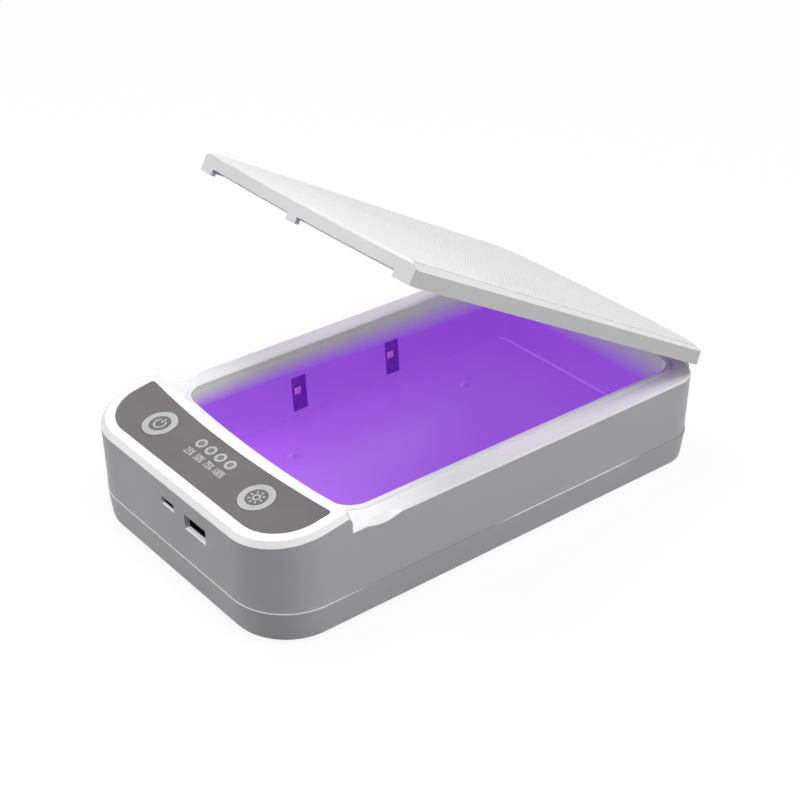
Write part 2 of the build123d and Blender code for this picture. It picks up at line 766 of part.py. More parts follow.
# ---------------------------------------------------------------- push buttons
plunger_top = switch_top + plunger_height
for name, x in buttons.items():
    with BuildPart() as ring_room:
        with BuildSketch(Plane.XY.offset(flange_top)):
            with Locations((x, button_y)):
                Circle(button_radius)
                Circle(button_ring_inner_radius, mode=Mode.SUBTRACT)
        extrude(amount=block_peak)
        with BuildSketch(deck_plane.offset(button_proud - button_ring_thickness)):
            Rectangle(slab_size, slab_size)
        extrude(amount=block_peak, mode=Mode.INTERSECT)
    with BuildPart() as button_cap:
        with BuildSketch(Plane.XY.offset(flange_top - stop_gap)):
            with Locations((x, button_y)):
                Circle(button_radius)
        extrude(amount=block_peak)
        with BuildSketch(deck_plane.offset(button_proud)):
            Rectangle(slab_size, slab_size)
        extrude(amount=block_peak, mode=Mode.SUBTRACT)
        add(ring_room.part, mode=Mode.SUBTRACT)
        with Locations((x, button_y, flange_top - stop_gap)):
            Cylinder(
                flange_radius,
                button_flange_thickness,
                align=(Align.CENTER, Align.CENTER, Align.MAX),
            )
        with Locations((x, button_y, plunger_top)):
            Cylinder(
                button_stem_radius,
                flange_top - plunger_top,
                align=(Align.CENTER, Align.CENTER, Align.MIN),
            )
    save(button_cap, f"{name}_button_cap")
    with BuildPart() as button_ring:
        add(ring_room.part)
        with BuildSketch(deck_plane.offset(button_proud)):
            Rectangle(slab_size, slab_size)
        extrude(amount=block_peak, mode=Mode.SUBTRACT)
    save(button_ring, f"{name}_button_ring")
    with BuildPart() as switch_plunger:
        with Locations((x, button_y, plunger_top)):
            Cylinder(
                plunger_radius,
                plunger_height + plunger_depth,
                align=(Align.CENTER, Align.CENTER, Align.MAX),
            )
    save(switch_plunger, f"{name}_switch_plunger")
    with BuildPart() as tact_switch:
        with Locations((x, button_y, board_top)):
            Box(switch_width, switch_width, switch_height, align=(Align.CENTER, Align.CENTER, Align.MIN))
        fillet(tact_switch.edges().filter_by(Axis.Z), button_ring_thickness)
        with Locations((x, button_y, switch_top)):
            Cylinder(
                plunger_radius + running_clearance,
                plunger_depth + button_travel + stop_gap,
                align=(Align.CENTER, Align.CENTER, Align.MAX),
                mode=Mode.SUBTRACT,
            )
    save(tact_switch, f"{name}_tact_switch")

# ---------------------------------------------------------------- control board
with BuildPart() as control_board:
    with BuildSketch(Plane.XY.offset(board_underside)):
        with Locations((0, (board_front_y + board_rear_y) / 2)):
            RectangleRounded(board_width, board_depth, small_boss_radius)
        with Locations(*board_screws_at):
            Circle(small_screw_radius + screw_clearance, mode=Mode.SUBTRACT)
    extrude(amount=board_thickness)
save(control_board, "control_board")

with BuildPart() as indicator_leds:
    with Locations(*[(x, light_y, board_top) for x in light_xs]):
        Box(led_width, led_length, led_height, align=(Align.CENTER, Align.CENTER, Align.MIN))
save(indicator_leds, "indicator_leds")

with BuildPart() as controller_chip:
    with Locations((0, chip_y, board_top)):
        Box(chip_width, chip_depth, chip_height, align=(Align.CENTER, Align.CENTER, Align.MIN))
    chamfer(controller_chip.faces().sort_by(Axis.Z)[-1].edges(), chip_height / 5)
save(controller_chip, "controller_chip")

with BuildPart() as power_coil:
    with Locations((coil_x, coil_y, board_underside)):
        Box(coil_width, coil_width, coil_height, align=(Align.CENTER, Align.CENTER, Align.MAX))
    fillet(power_coil.edges().filter_by(Axis.Z), coil_width / 6)
save(power_coil, "power_coil")

with BuildPart() as lid_sensor:
    with Locations((magnet_x, board_rear_y - sensor_setback, board_top)):
        Box(sensor_width, sensor_depth, sensor_height, align=(Align.CENTER, Align.CENTER, Align.MIN))
save(lid_sensor, "lid_sensor")

# ---------------------------------------------------------------- ports
shell_front_y = front_y + port_recess

with BuildPart() as usb_a_shell:
    with BuildSketch(Plane.XZ.offset(-shell_front_y)):
        with Locations((usb_x, usb_z)):
            RectangleRounded(usb_width, usb_height, usb_metal)
    extrude(amount=-usb_depth)
    with BuildSketch(Plane.XZ.offset(-shell_front_y)):
        with Locations((usb_x, usb_z)):
            Rectangle(usb_width - 2 * usb_metal, usb_height - 2 * usb_metal)
    extrude(amount=-usb_depth + usb_metal, mode=Mode.SUBTRACT)
save(usb_a_shell, "usb_a_shell")

with BuildPart() as usb_a_tongue:
    usb_back_y = shell_front_y + usb_depth - usb_metal
    usb_heel = usb_depth - usb_metal - usb_tongue_length - port_recess
    with Locations((usb_x, usb_back_y, usb_z)):
        Box(
            usb_width - 2 * usb_metal,
            usb_heel,
            usb_height - 2 * usb_metal,
            align=(Align.CENTER, Align.MAX, Align.CENTER),
        )
    with Locations((usb_x, usb_back_y - usb_heel, usb_z + usb_tongue_thickness / 2)):
        Box(
            usb_tongue_width,
            usb_tongue_length,
            usb_tongue_thickness,
            align=(Align.CENTER, Align.MAX, Align.CENTER),
        )
save(usb_a_tongue, "usb_a_tongue")

with BuildPart() as micro_usb_shell:
    with BuildSketch(Plane.XZ.offset(-shell_front_y)):
        with Locations((micro_x, micro_z)):
            Trapezoid(micro_width, micro_height, micro_slant, rotation=180)
    extrude(amount=-micro_depth)
    with BuildSketch(Plane.XZ.offset(-shell_front_y)):
        with Locations((micro_x, micro_z)):
            Trapezoid(
                micro_width - 3 * micro_metal, micro_height - 2 * micro_metal, micro_slant, rotation=180
            )
    extrude(amount=-micro_depth + micro_metal, mode=Mode.SUBTRACT)
save(micro_usb_shell, "micro_usb_shell")

with BuildPart() as micro_usb_tongue:
    micro_back_y = shell_front_y + micro_depth - micro_metal
    with Locations((micro_x, micro_back_y, micro_z + micro_tongue_thickness / 2)):
        Box(
            micro_tongue_width,
            micro_tongue_length,
            micro_tongue_thickness,
            align=(Align.CENTER, Align.MAX, Align.CENTER),
        )
save(micro_usb_tongue, "micro_usb_tongue")

# ---------------------------------------------------------------- hinge pins and washers
for name, x in (("left", -hinge_x), ("right", hinge_x)):
    with BuildPart() as hinge_pin:
        with Locations(Location((x, hinge_y, hinge_z), (0, 90, 0))):
            Cylinder(pin_radius, pocket_width + 2 * case_knuckle_width)
        chamfer(hinge_pin.edges(), pin_radius / 5)
    save(hinge_pin, f"{name}_hinge_pin")
    with BuildPart() as hinge_washers:
        for side in (-1, 1):
            washer_x = x + side * (lid_knuckle_width + washer_thickness + 2 * stop_gap) / 2
            with Locations(Location((washer_x, hinge_y, hinge_z), (0, 90, 0))):
                Cylinder(washer_radius, washer_thickness)
        with Locations(Location((x, hinge_y, hinge_z), (0, 90, 0))):
            Cylinder(pin_radius + running_clearance / 2, pocket_width, mode=Mode.SUBTRACT)
    save(hinge_washers, f"{name}_hinge_washers")

# ---------------------------------------------------------------- lid
field_half_width = half_width - lid_border - lid_step
crown_radius = (field_half_width**2 + lid_crown**2) / (2 * lid_crown)
with BuildPart() as lid_field:
    # textured field inside the border, with a long shallow crown across the lid
    with BuildSketch(crown_plane.offset(-lid_step)):
        add(lid_outline(lid_border + lid_step, 0))
    extrude(amount=2 * lid_step + lid_crown)
    with BuildSketch(Plane(origin=crown_plane.origin, x_dir=(1, 0, 0), z_dir=-crown_plane.y_dir)):
        with Locations((0, lid_step + lid_crown - crown_radius)):
            Circle(crown_radius)
    extrude(amount=lid_length + case_wall, mode=Mode.INTERSECT)

with BuildPart() as lid_front_trim:
    with BuildSketch(lid_plane):
        with Locations((0, lid_front)):
            Rectangle(2 * case_width, lid_length)
        with Locations((0, lid_arc_centre)):
            Circle(lid_arc_radius, mode=Mode.SUBTRACT)
        with Locations((-half_width, lid_corner_y), (half_width, lid_corner_y)):
            Rectangle(lid_corner_bevel, lid_corner_bevel, rotation=45)
    extrude(amount=4 * rim_level)

with BuildPart() as lid_bevel_trim:
    # what lies in front of a wide cone, whose side makes the bevel of the top edge
    bevel_level = lid_front_top - 2 * lid_front_bevel_height
    with BuildSketch(lid_plane.offset(bevel_level)):
        with Locations((0, lid_front)):
            Rectangle(2 * case_width, lid_length)
    extrude(amount=3 * lid_front_bevel_height)
    with Locations(lid_plane):
        with Locations((0, lid_arc_centre, bevel_level)):
            Cone(
                lid_arc_radius + lid_front_bevel,
                lid_arc_radius - 2 * lid_front_bevel,
                3 * lid_front_bevel_height,
                align=(Align.CENTER, Align.CENTER, Align.MIN),
                mode=Mode.SUBTRACT,
            )

with BuildPart() as lid_cover:
    with BuildSketch(lid_plane.offset(rim_level)):
        add(lid_outline(0, lid_rear))
    with BuildSketch(lid_plane.offset(rim_level + lid_side_height)):
        add(lid_outline(lid_side_inset, lid_rear))
    loft(ruled=True)
    with BuildSketch(lid_plane.offset(rim_level + lid_side_height)):
        add(lid_outline(lid_side_inset, lid_rear))
    with BuildSketch(crown_plane):
        add(lid_outline(lid_border, 0))
    loft(ruled=True)
    add(lid_field.part)
    add(lid_front_trim.part, mode=Mode.SUBTRACT)
    add(lid_bevel_trim.part, mode=Mode.SUBTRACT)
    # hollow underneath
    with BuildSketch(lid_plane.offset(rim_level)):
        add(lid_outline(lid_wall, lid_rear))
        with Locations((0, lid_arc_centre)):
            Circle(lid_arc_radius - lid_wall, mode=Mode.INTERSECT)
    extrude(amount=lid_hollow_depth, mode=Mode.SUBTRACT)
    # bosses for the liner's screws
    with BuildSketch(lid_plane.offset(liner_level + liner_thickness)):
        with Locations(*lid_screws_at):
            Circle(small_boss_radius)
    extrude(amount=lid_hollow_depth + lid_boss_sink - liner_recess - liner_thickness)
    with Locations(lid_plane):
        with Locations(*[Location((x, y, liner_level + liner_thickness)) for x, y in lid_screws_at]):
            Cylinder(
                small_screw_radius + screw_clearance,
                lid_screw_length - liner_thickness + stop_gap,
                align=(Align.CENTER, Align.CENTER, Align.MIN),
                mode=Mode.SUBTRACT,
            )
    # the skirt in front is cut back between three tabs
    relief_width = half_width - lid_corner_tab - lid_centre_tab / 2
    relief_x = (half_width - lid_corner_tab + lid_centre_tab / 2) / 2
    with BuildSketch(lid_plane.offset(rim_level)):
        with Locations((-relief_x, lid_front), (relief_x, lid_front)):
            Rectangle(relief_width, 4 * block_sagitta)
        with Locations((0, lid_arc_centre)):
            Circle(lid_arc_radius - lid_wall - liner_gap, mode=Mode.SUBTRACT)
    extrude(amount=lid_tab_relief, mode=Mode.SUBTRACT)
    # arms that reach down behind the case, with their knuckles and heels
    for x in (-hinge_x, hinge_x):
        arm_plane = Plane(
            origin=lid_plane.from_local_coords((x - lid_knuckle_width / 2, 0, 0)),
            x_dir=lid_plane.y_dir,
            z_dir=(1, 0, 0),
        )
        arm_front = hinge_gap - hinge_behind
        arm_top = rim_level + lid_side_height - lid_arm_drop
        with BuildSketch(arm_plane):
            Circle(knuckle_radius)
            with BuildLine():
                Polyline(
                    (arm_front, 0),
                    (arm_front, rim_level + hinge_gap),
                    (lid_rear - lid_wall / 2, rim_level + hinge_gap),
                    (lid_rear - lid_wall / 2, arm_top),
                    (lid_rear + lid_arm_drop, arm_top),
                    (knuckle_radius, rim_level),
                    (heel_length, heel_gap - hinge_behind + knuckle_radius),
                    (heel_length, heel_gap - hinge_behind),
                    (0, heel_gap - hinge_behind),
                    close=True,
                )
            make_face()
            Circle(pin_radius + running_clearance, mode=Mode.SUBTRACT)
        extrude(amount=lid_knuckle_width)
save(lid_cover, "lid_cover")

with BuildPart() as lid_liner:
    with BuildSketch(lid_plane.offset(liner_level)):
        add(lid_outline(lid_wall + liner_gap, lid_rear))
        with Locations((0, lid_arc_centre)):
            Circle(lid_arc_radius - lid_wall - liner_gap, mode=Mode.INTERSECT)
    extrude(amount=liner_thickness)
    with Locations(lid_plane):
        with Locations(*[Location((x, y, liner_level), (180, 0, 0)) for x, y in lid_screws_at]):
            CounterSinkHole(
                small_screw_radius + screw_clearance,
                small_head_radius + screw_clearance,
                liner_thickness,
                countersink_angle,
            )
save(lid_liner, "lid_liner")

with BuildPart() as lid_magnet:
    with Locations(lid_plane):
        with Locations((magnet_x, lid_front + magnet_setback, liner_level + liner_thickness)):
            Cylinder(magnet_radius, magnet_height, align=(Align.CENTER, Align.CENTER, Align.MIN))
save(lid_magnet, "lid_magnet")

# ---------------------------------------------------------------- screws
with BuildPart() as lid_screws:
    with Locations(lid_plane):
        with Locations(*[Location((x, y, liner_level)) for x, y in lid_screws_at]):
            Cone(
                small_head_radius,
                small_screw_radius,
                (small_head_radius - small_screw_radius) / tan(radians(countersink_angle / 2)),
                align=(Align.CENTER, Align.CENTER, Align.MIN),
            )
            Cylinder(
                small_screw_radius,
                lid_screw_length,
                align=(Align.CENTER, Align.CENTER, Align.MIN),
            )
save(lid_screws, "lid_screws")

large_screw = (screw_radius, screw_head_radius, screw_head_height)
small_screw = (small_screw_radius, small_head_radius, small_head_height)
screw_sets = {
    "case_screws": (case_screws_at, screw_seat, case_screw_length, large_screw),
    "tray_screws": (tray_screws_at, screw_seat, tray_screw_length, large_screw),
    "board_screws": (board_screws_at, board_underside, board_screw_length, small_screw),
}
for name, (places, seat, length, (shank_radius, head_radius, head_height)) in screw_sets.items():
    with BuildPart() as screws:
        with Locations(*[Location((x, y, seat)) for x, y in places]):
            Cylinder(shank_radius, length, align=(Align.CENTER, Align.CENTER, Align.MIN))
            Cylinder(head_radius, head_height, align=(Align.CENTER, Align.CENTER, Align.MAX))
    save(screws, name)

# ---------------------------------------------------------------- rubber feet
for name, (x, y) in feet.items():
    with BuildPart() as rubber_foot:
        with Locations((x, y, 0)):
            Cylinder(
                foot_radius,
                foot_stand + foot_seat_depth,
                align=(Align.CENTER, Align.CENTER, Align.MIN),
            )
        chamfer(rubber_foot.faces().sort_by(Axis.Z)[0].edges(), foot_edge_bevel)
    save(rubber_foot, f"rubber_foot_{name}")
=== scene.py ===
# %% [markdown]
# # A box that disinfects a phone
# The real object is a low plastic box. A phone lies in its tub, ultraviolet lamps shine on it
# from the tub's long walls, and a lid on a rear hinge closes it. The solids come from the CAD
# frame. This lesson gives them their finishes, and adds the small things that a solid doesn't
# carry well: printed marks, threads and small parts on the circuit board.
# The frame comes first, because every finish and every new piece is placed on it.

# %% Load the frame
import bpy
import numpy as np
from math import cos, pi, radians, sin, tan
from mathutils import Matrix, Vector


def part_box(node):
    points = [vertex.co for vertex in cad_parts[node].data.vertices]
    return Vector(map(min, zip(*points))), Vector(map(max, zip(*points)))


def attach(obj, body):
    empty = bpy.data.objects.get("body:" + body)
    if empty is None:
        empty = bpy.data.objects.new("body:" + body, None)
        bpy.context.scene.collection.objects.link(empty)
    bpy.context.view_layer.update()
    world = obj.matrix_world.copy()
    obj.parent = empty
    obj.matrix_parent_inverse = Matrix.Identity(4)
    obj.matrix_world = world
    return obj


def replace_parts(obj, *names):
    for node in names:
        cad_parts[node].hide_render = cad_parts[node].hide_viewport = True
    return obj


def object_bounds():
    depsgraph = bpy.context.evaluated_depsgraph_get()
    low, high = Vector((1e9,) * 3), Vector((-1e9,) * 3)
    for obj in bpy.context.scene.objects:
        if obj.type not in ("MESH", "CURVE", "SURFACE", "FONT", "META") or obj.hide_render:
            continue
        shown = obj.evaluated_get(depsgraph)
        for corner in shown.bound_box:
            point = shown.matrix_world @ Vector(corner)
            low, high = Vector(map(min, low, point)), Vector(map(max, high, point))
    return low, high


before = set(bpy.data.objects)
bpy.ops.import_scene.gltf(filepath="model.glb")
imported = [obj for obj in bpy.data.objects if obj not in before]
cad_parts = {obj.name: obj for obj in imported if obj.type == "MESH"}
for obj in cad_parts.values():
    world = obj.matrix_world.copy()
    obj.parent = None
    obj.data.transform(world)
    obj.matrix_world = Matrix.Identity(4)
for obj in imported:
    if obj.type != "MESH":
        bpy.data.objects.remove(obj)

cad_low, cad_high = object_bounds()
cad_size = [round(1000 * side) for side in cad_high - cad_low]
print("pieces in the frame:", len(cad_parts), "size in mm:", cad_size)

# %% [markdown]
# ## Measures
# New pieces sit on the CAD, so they need a few of its measures. The board's height comes from
# the frame, as the top of the box round its node. The slope of the control panel, the hinge and
# the lid's angle can't be read that way, so they are repeated here. Everything is in metres,
# with +Y to the hinge and +Z up.

# %% Measures shared by the cells below
MM = 0.001
CASE_FRONT = -105.5 * MM
DECK_HEIGHT = 42.2 * MM  # of the sloping top at the front face
DECK_SLOPE = radians(9.1)
PANEL_FRONT, PANEL_REAR = -100 * MM, -75 * MM
LID_ANGLE = radians(28.9)  # how far the lid stands open
HINGE_Y, HINGE_Z = 107.0 * MM, 35.2 * MM
BOARD_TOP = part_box("control_board")[1].z


def on_deck(x, y, lift=0.0):
    """Points on the sloping panel, or a little above it.

    The height grows with y by the slope, and the lift is added along the slope's normal.
    """
    x, y, lift = np.broadcast_arrays(x, y, lift)
    height = DECK_HEIGHT + (y - CASE_FRONT) * tan(DECK_SLOPE)
    return np.stack([x, y - lift * sin(DECK_SLOPE), height + lift * cos(DECK_SLOPE)], axis=-1)


panel_heights = on_deck(0, np.array([PANEL_FRONT, PANEL_REAR]))[:, 2]
print("panel height at the front and rear, mm:", (panel_heights / MM).round(2))

# %% [markdown]
# ## Nodes in a few words
# A procedural finish is a small graph. Written out node by node it would hide its idea, so a
# few helpers keep it short. The first adds a node and either sets or wires its inputs. The one
# that starts a material writes the values that are the same all over straight onto the shader.

# %% Helpers for nodes
def node(tree, kind, inputs, **settings):
    """Adds a node to a tree. An input is a value to set, or another node's output to wire in."""
    made = tree.nodes.new(kind)
    for key, value in settings.items():
        setattr(made, key, value)
    for key, value in inputs.items():
        if isinstance(value, bpy.types.NodeSocket):
            tree.links.new(value, made.inputs[key])
        else:
            made.inputs[key].default_value = value
    return made


def tree_and_shader(material):
    """The node tree of a material and the shader in it."""
    return material.node_tree, material.node_tree.nodes["Principled BSDF"]


def start_finish(name, colour, roughness, **values):
    """A new material, its tree and its shader, with plain values on the shader's own sockets."""
    material = bpy.data.materials.new(name)
    material.use_nodes = True
    tree, shader = tree_and_shader(material)
    shader.inputs["Base Color"].default_value = (*colour, 1)
    shader.inputs["Roughness"].default_value = roughness
    for key, value in values.items():
        shader.inputs[key.replace("_", " ")].default_value = value
    return material, tree, shader


def wire(tree, output, shader, name):
    """Joins an output to one of the shader's inputs."""
    tree.links.new(output, shader.inputs[name])


def calculate(tree, operation, first, second=0.0):
    """One Math node, which works on one value or on two."""
    return node(tree, "ShaderNodeMath", {0: first, 1: second}, operation=operation).outputs["Value"]


def axes(tree, vector):
    """The X, Y and Z of a vector, each as an output of its own."""
    return node(tree, "ShaderNodeSeparateXYZ", {"Vector": vector}).outputs


def place_of(tree):
    """The piece's own coordinates in metres, which ride with it when it moves."""
    return node(tree, "ShaderNodeTexCoord", {}).outputs["Object"]


def facing_of(tree):
    """The direction that the surface faces, as a vector of length 1."""
    return node(tree, "ShaderNodeNewGeometry", {}).outputs["Normal"]


# %% [markdown]
# A mask is a value that is 1 where something applies and 0 elsewhere. Here a mask rises or
# falls while some measure goes from one value to another, which gives it a soft edge. Masks are
# multiplied where all of them have to hold.

# %% Helpers for masks
def spread(tree, value, low, high, start=0.3, end=0.7):
    """Maps a value from start..end to low..high, clamped at both ends."""
    inputs = {"Value": value, "From Min": start, "From Max": end, "To Min": low, "To Max": high}
    return node(tree, "ShaderNodeMapRange", inputs).outputs["Result"]


def rises(tree, value, start, end):
    """0 up to start, 1 from end on, and a straight line between them."""
    return spread(tree, value, 0, 1, start, end)


def falls(tree, value, start, end):
    """1 up to start, 0 from end on, and a straight line between them."""
    return spread(tree, value, 1, 0, start, end)


def product(tree, first, *others):
    """The first value multiplied by each of the others in turn."""
    for other in others:
        first = calculate(tree, "MULTIPLY", first, other)
    return first


def between(tree, value, low, high, soft):
    """1 between two limits and 0 outside them, with an edge of width `soft` inside each."""
    return product(tree, rises(tree, value, low, low + soft), falls(tree, value, high - soft, high))


def band_of(tree, value, start, end):
    """1 in the middle of start..end, falling to 0 at both."""
    return between(tree, value, start, end, (end - start) / 2)


def size_of(tree, value):
    """The value without its sign."""
    return calculate(tree, "ABSOLUTE", value)


def apart(tree, value, centre):
    """How far a value lies from a centre."""
    return size_of(tree, calculate(tree, "SUBTRACT", value, centre))


# %% [markdown]
# Colours are mixed by masks, relief is a height that tilts the shading normal, and edges, which
# hands have rubbed and which get a painted highlight, are found by comparing a rounded normal
# with the true one.

# %% Helpers for colour and relief
def noise(tree, place, scale, detail=2.0):
    """Soft noise between about 0.3 and 0.7, with `scale` cells to the metre."""
    made = node(tree, "ShaderNodeTexNoise", {"Vector": place, "Scale": scale, "Detail": detail})
    return made.outputs["Fac"]


def blend_colours(tree, factor, first, second):
    """Mixes two colours. Each is a triple or another node's output."""
    made = node(tree, "ShaderNodeMix", {"Factor": factor}, data_type="RGBA")
    for socket, colour in ((made.inputs[6], first), (made.inputs[7], second)):
        if isinstance(colour, bpy.types.NodeSocket):
            tree.links.new(colour, socket)
        else:
            socket.default_value = (*colour, 1)
    return made.outputs[2]


def paint_over(tree, shader, mask, colour):
    """Lays a colour over the one that the shader has so far, where a mask is 1."""
    so_far = shader.inputs["Base Color"].links[0].from_socket
    wire(tree, blend_colours(tree, mask, so_far, colour), shader, "Base Color")


def bump(tree, height, depth, under=None):
    """Turns a height into a shading normal. The depth is in metres."""
    inputs = {"Height": height, "Distance": depth, "Strength": 1.0}
    if under is not None:
        inputs["Normal"] = under
    return node(tree, "ShaderNodeBump", inputs).outputs["Normal"]


def worn_and_highlit_edges(tree, radius):
    """About 1 on edges and 0 on flats: a rounded normal leaves the true one only at an edge."""
    rounded = node(tree, "ShaderNodeBevel", {"Radius": radius}, samples=4).outputs["Normal"]
    both = {0: rounded, 1: facing_of(tree)}
    along = node(tree, "ShaderNodeVectorMath", both, operation="DOT_PRODUCT").outputs["Value"]
    return falls(tree, along, 0.8, 0.99)


# %% [markdown]
# A finish goes onto a CAD piece through its material slots, and its mesh stays as it is.

# %% Helpers for dressing the frame
def dress(material, *names):
    """Gives a finish to CAD nodes through their objects' material slots."""
    for name in names:
        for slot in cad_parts[name].material_slots:
            slot.material = material
    print(material.name, "on", ", ".join(names))


def starting(word):
    """The names of the CAD nodes that start with a word."""
    return [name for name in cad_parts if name.startswith(word)]


print("the case is made of", ", ".join(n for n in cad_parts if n.endswith("_case")))

# %% [markdown]
# ## Case
# The two case halves are moulded from a pale ABS. The walls of their mould were spark-eroded,
# which leaves a fine dull grain, and the surfaces that face up were polished. The walls are
# painted a grey as shade, and the faces that face up a near white as light. One noise at
# half-millimetre cells gives the grain, a wide one gives the faint clouding of the colour, and
# the edges are a little smoother from handling and painted lighter as a highlight.

# %% Case finish
# the walls' grey is painted shade, and the tops' near white is painted light
CASE_WALL_SHADED, CASE_TOP_LIT, CASE_CLOUD = (0.665, 0.665, 0.685), (0.925, 0.93, 0.915), (0.30, 0.30, 0.31)


def moulded_plastic(name, wall, top, cloud, roughness, grain_depth):
    """ABS with grained walls in painted shade, smoother tops in painted light, and edges polished
    by hands with a painted highlight.
    """
    material, tree, shader = start_finish(name, wall, roughness, IOR=1.53)
    place = place_of(tree)
    on_top = rises(tree, axes(tree, facing_of(tree))["Z"], 0.25, 0.7)
    base = blend_colours(tree, on_top, wall, top)
    clouds = spread(tree, noise(tree, place, 22.0), 0.0, 0.07, start=0.2, end=0.8)
    cloudy = blend_colours(tree, clouds, base, cloud)
    edges = worn_and_highlit_edges(tree, 0.5 * MM)
    # edges painted lighter: a painted highlight
    painted_edge_highlight = blend_colours(tree, on_top, [1.1 * c for c in wall], [1.02 * c for c in top])
    wire(tree, blend_colours(tree, edges, cloudy, painted_edge_highlight), shader, "Base Color")
    dull = spread(tree, noise(tree, place, 90.0), roughness, roughness + 0.1, start=0.2, end=0.8)
    polish = product(tree, calculate(tree, "MAXIMUM", edges, on_top), 0.12)
    wire(tree, calculate(tree, "SUBTRACT", dull, polish), shader, "Roughness")
    grain = noise(tree, place, 2300.0, detail=3.0)
    wire(tree, bump(tree, grain, grain_depth), shader, "Normal")
    return material


case_plastic = moulded_plastic("case_plastic", CASE_WALL_SHADED, CASE_TOP_LIT, CASE_CLOUD, 0.44, 0.05 * MM)
dress(case_plastic, "upper_case", "lower_case")

# %% [markdown]
# The floors of the two port openings catch the room's light in the photograph. The lamps of
# this scene stand too high to reach into them, so these two small faces give off a little light.
# The narrow port, near x = 0, is lit less deep than the wide one, and is painted black as shade
# behind that.

# %% Floors of the port openings
PORTS_FOOT, PORTS_HEAD = 16 * MM, 35 * MM
PORTS_DIVIDE = (6 * MM, 8 * MM)  # x, between the narrow port and the wide one
FLOORS_LIT = (CASE_FRONT + 1.1 * MM, CASE_FRONT + 2.5 * MM)  # y, in the narrow and the wide port
FRONT_WALL = (CASE_FRONT + 4 * MM, CASE_FRONT + 5 * MM)
LIT_EDGE = 0.4 * MM

tree, shader = tree_and_shader(case_plastic)
case_x, case_y, case_z = axes(tree, place_of(tree))
facing_up = axes(tree, facing_of(tree))["Z"]
at_ports = between(tree, case_z, PORTS_FOOT, PORTS_HEAD, 1 * MM)
past_lit = calculate(tree, "SUBTRACT", case_y, spread(tree, case_x, *FLOORS_LIT, *PORTS_DIVIDE))
floor_light = spread(tree, facing_up, 0, 0.45, start=0.5, end=0.8)
lit = product(tree, at_ports, falls(tree, past_lit, 0, LIT_EDGE), floor_light)
shader.inputs["Emission Color"].default_value = (0.97, 0.98, 1.0, 1)
wire(tree, lit, shader, "Emission Strength")

in_narrow_port = falls(tree, size_of(tree, case_x), *PORTS_DIVIDE)
in_front_wall = falls(tree, case_y, *FRONT_WALL)
behind_lit = rises(tree, past_lit, 0, LIT_EDGE)
# painted shade: black inside the narrow port behind its lit floor
dark = product(tree, at_ports, behind_lit, in_narrow_port, in_front_wall)
paint_over(tree, shader, dark, (0.015, 0.015, 0.016))
print("port floors lit to y =", [round(y / MM, 1) for y in FLOORS_LIT], "mm")

# %% [markdown]
# The step at the parting line catches the light at the front and along part of the long sides.
# In between it lies in shade, so its narrow upper face is darkened there.

# %% Step at the parting line
PARTING_Z, BRIGHT_Y = 13.9 * MM, 34 * MM
STEP_EDGE = (0.5 * MM, 0.7 * MM)  # off the parting line, over which the shade ends
BRIGHT_END = (26 * MM, 40 * MM)  # off the bright stretch's middle, over which the shade begins
FRONT_END = (-80 * MM, -60 * MM)  # y, over which the bright front turns into shade

off_bright = apart(tree, case_y, BRIGHT_Y)
shaded = calculate(
    tree, "MINIMUM", rises(tree, off_bright, *BRIGHT_END), rises(tree, case_y, *FRONT_END)
)
at_parting = falls(tree, apart(tree, case_z, PARTING_Z), *STEP_EDGE)
step_dark = product(tree, at_parting, rises(tree, facing_up, 0.2, 0.5), shaded)
paint_over(tree, shader, step_dark, (0.26, 0.26, 0.27))
print("step at z =", round(PARTING_Z / MM, 1), "mm")

# %% [markdown]
# ## Lid
# The lid's top has a moulded pattern of tiny points in a square grid, which fades out towards
# the front. Two crossed sine waves multiplied give such a grid. It is worked out on the lid's
# own plane, so the coordinates are first turned by the angle that the lid stands open.

# %% Coordinates of the lid
def lid_coordinates(tree):
    """The piece's coordinates turned back to the shut lid: x across, y and z from the hinge."""
    steps = {"Location": (0, -HINGE_Y, -HINGE_Z)}, {"Rotation": (LID_ANGLE, 0, 0)}
    place = place_of(tree)
    for step in steps:
        mapping = node(tree, "ShaderNodeMapping", {"Vector": place, **step}, vector_type="POINT")
        place = mapping.outputs["Vector"]
    return place


lid_plastic, tree, shader = start_finish("lid_plastic", (0.80, 0.80, 0.81), 0.38, IOR=1.53)
lid_place = lid_coordinates(tree)
lid_x, lid_y, lid_z = axes(tree, lid_place)
print("the lid's plane is turned back by", round(np.degrees(LID_ANGLE), 1), "degrees")

# %% Lid finish
POINT_PITCH, POINT_HEIGHT = 1.5 * MM, 0.16 * MM
FIELD_SIDE = (58.4 * MM, 58.8 * MM)  # x, over which the field of points ends at each side
FIELD_REAR = (-6.2 * MM, -5.8 * MM)  # y from the hinge, over which it ends at the rear
FIELD_FADE = (-176 * MM, -120 * MM)  # y from the hinge, over which it fades in from the front
LID_TOP = (11.2 * MM, 11.3 * MM)

waves = [
    calculate(tree, "SINE", product(tree, along, 2 * pi / POINT_PITCH)) for along in (lid_x, lid_y)
]
points = rises(tree, product(tree, *waves), 0, 1)
field = product(
    tree,
    falls(tree, size_of(tree, lid_x), *FIELD_SIDE),
    falls(tree, lid_y, *FIELD_REAR),
    rises(tree, lid_y, *FIELD_FADE),
    rises(tree, lid_z, *LID_TOP),
)
field_points = product(tree, points, field)
clouds = rises(tree, noise(tree, lid_place, 18.0), 0.3, 0.7)
cloudy = blend_colours(tree, clouds, (0.77, 0.77, 0.78), (0.81, 0.81, 0.82))
dimmed = blend_colours(tree, field_points, cloudy, (0.62, 0.62, 0.64))
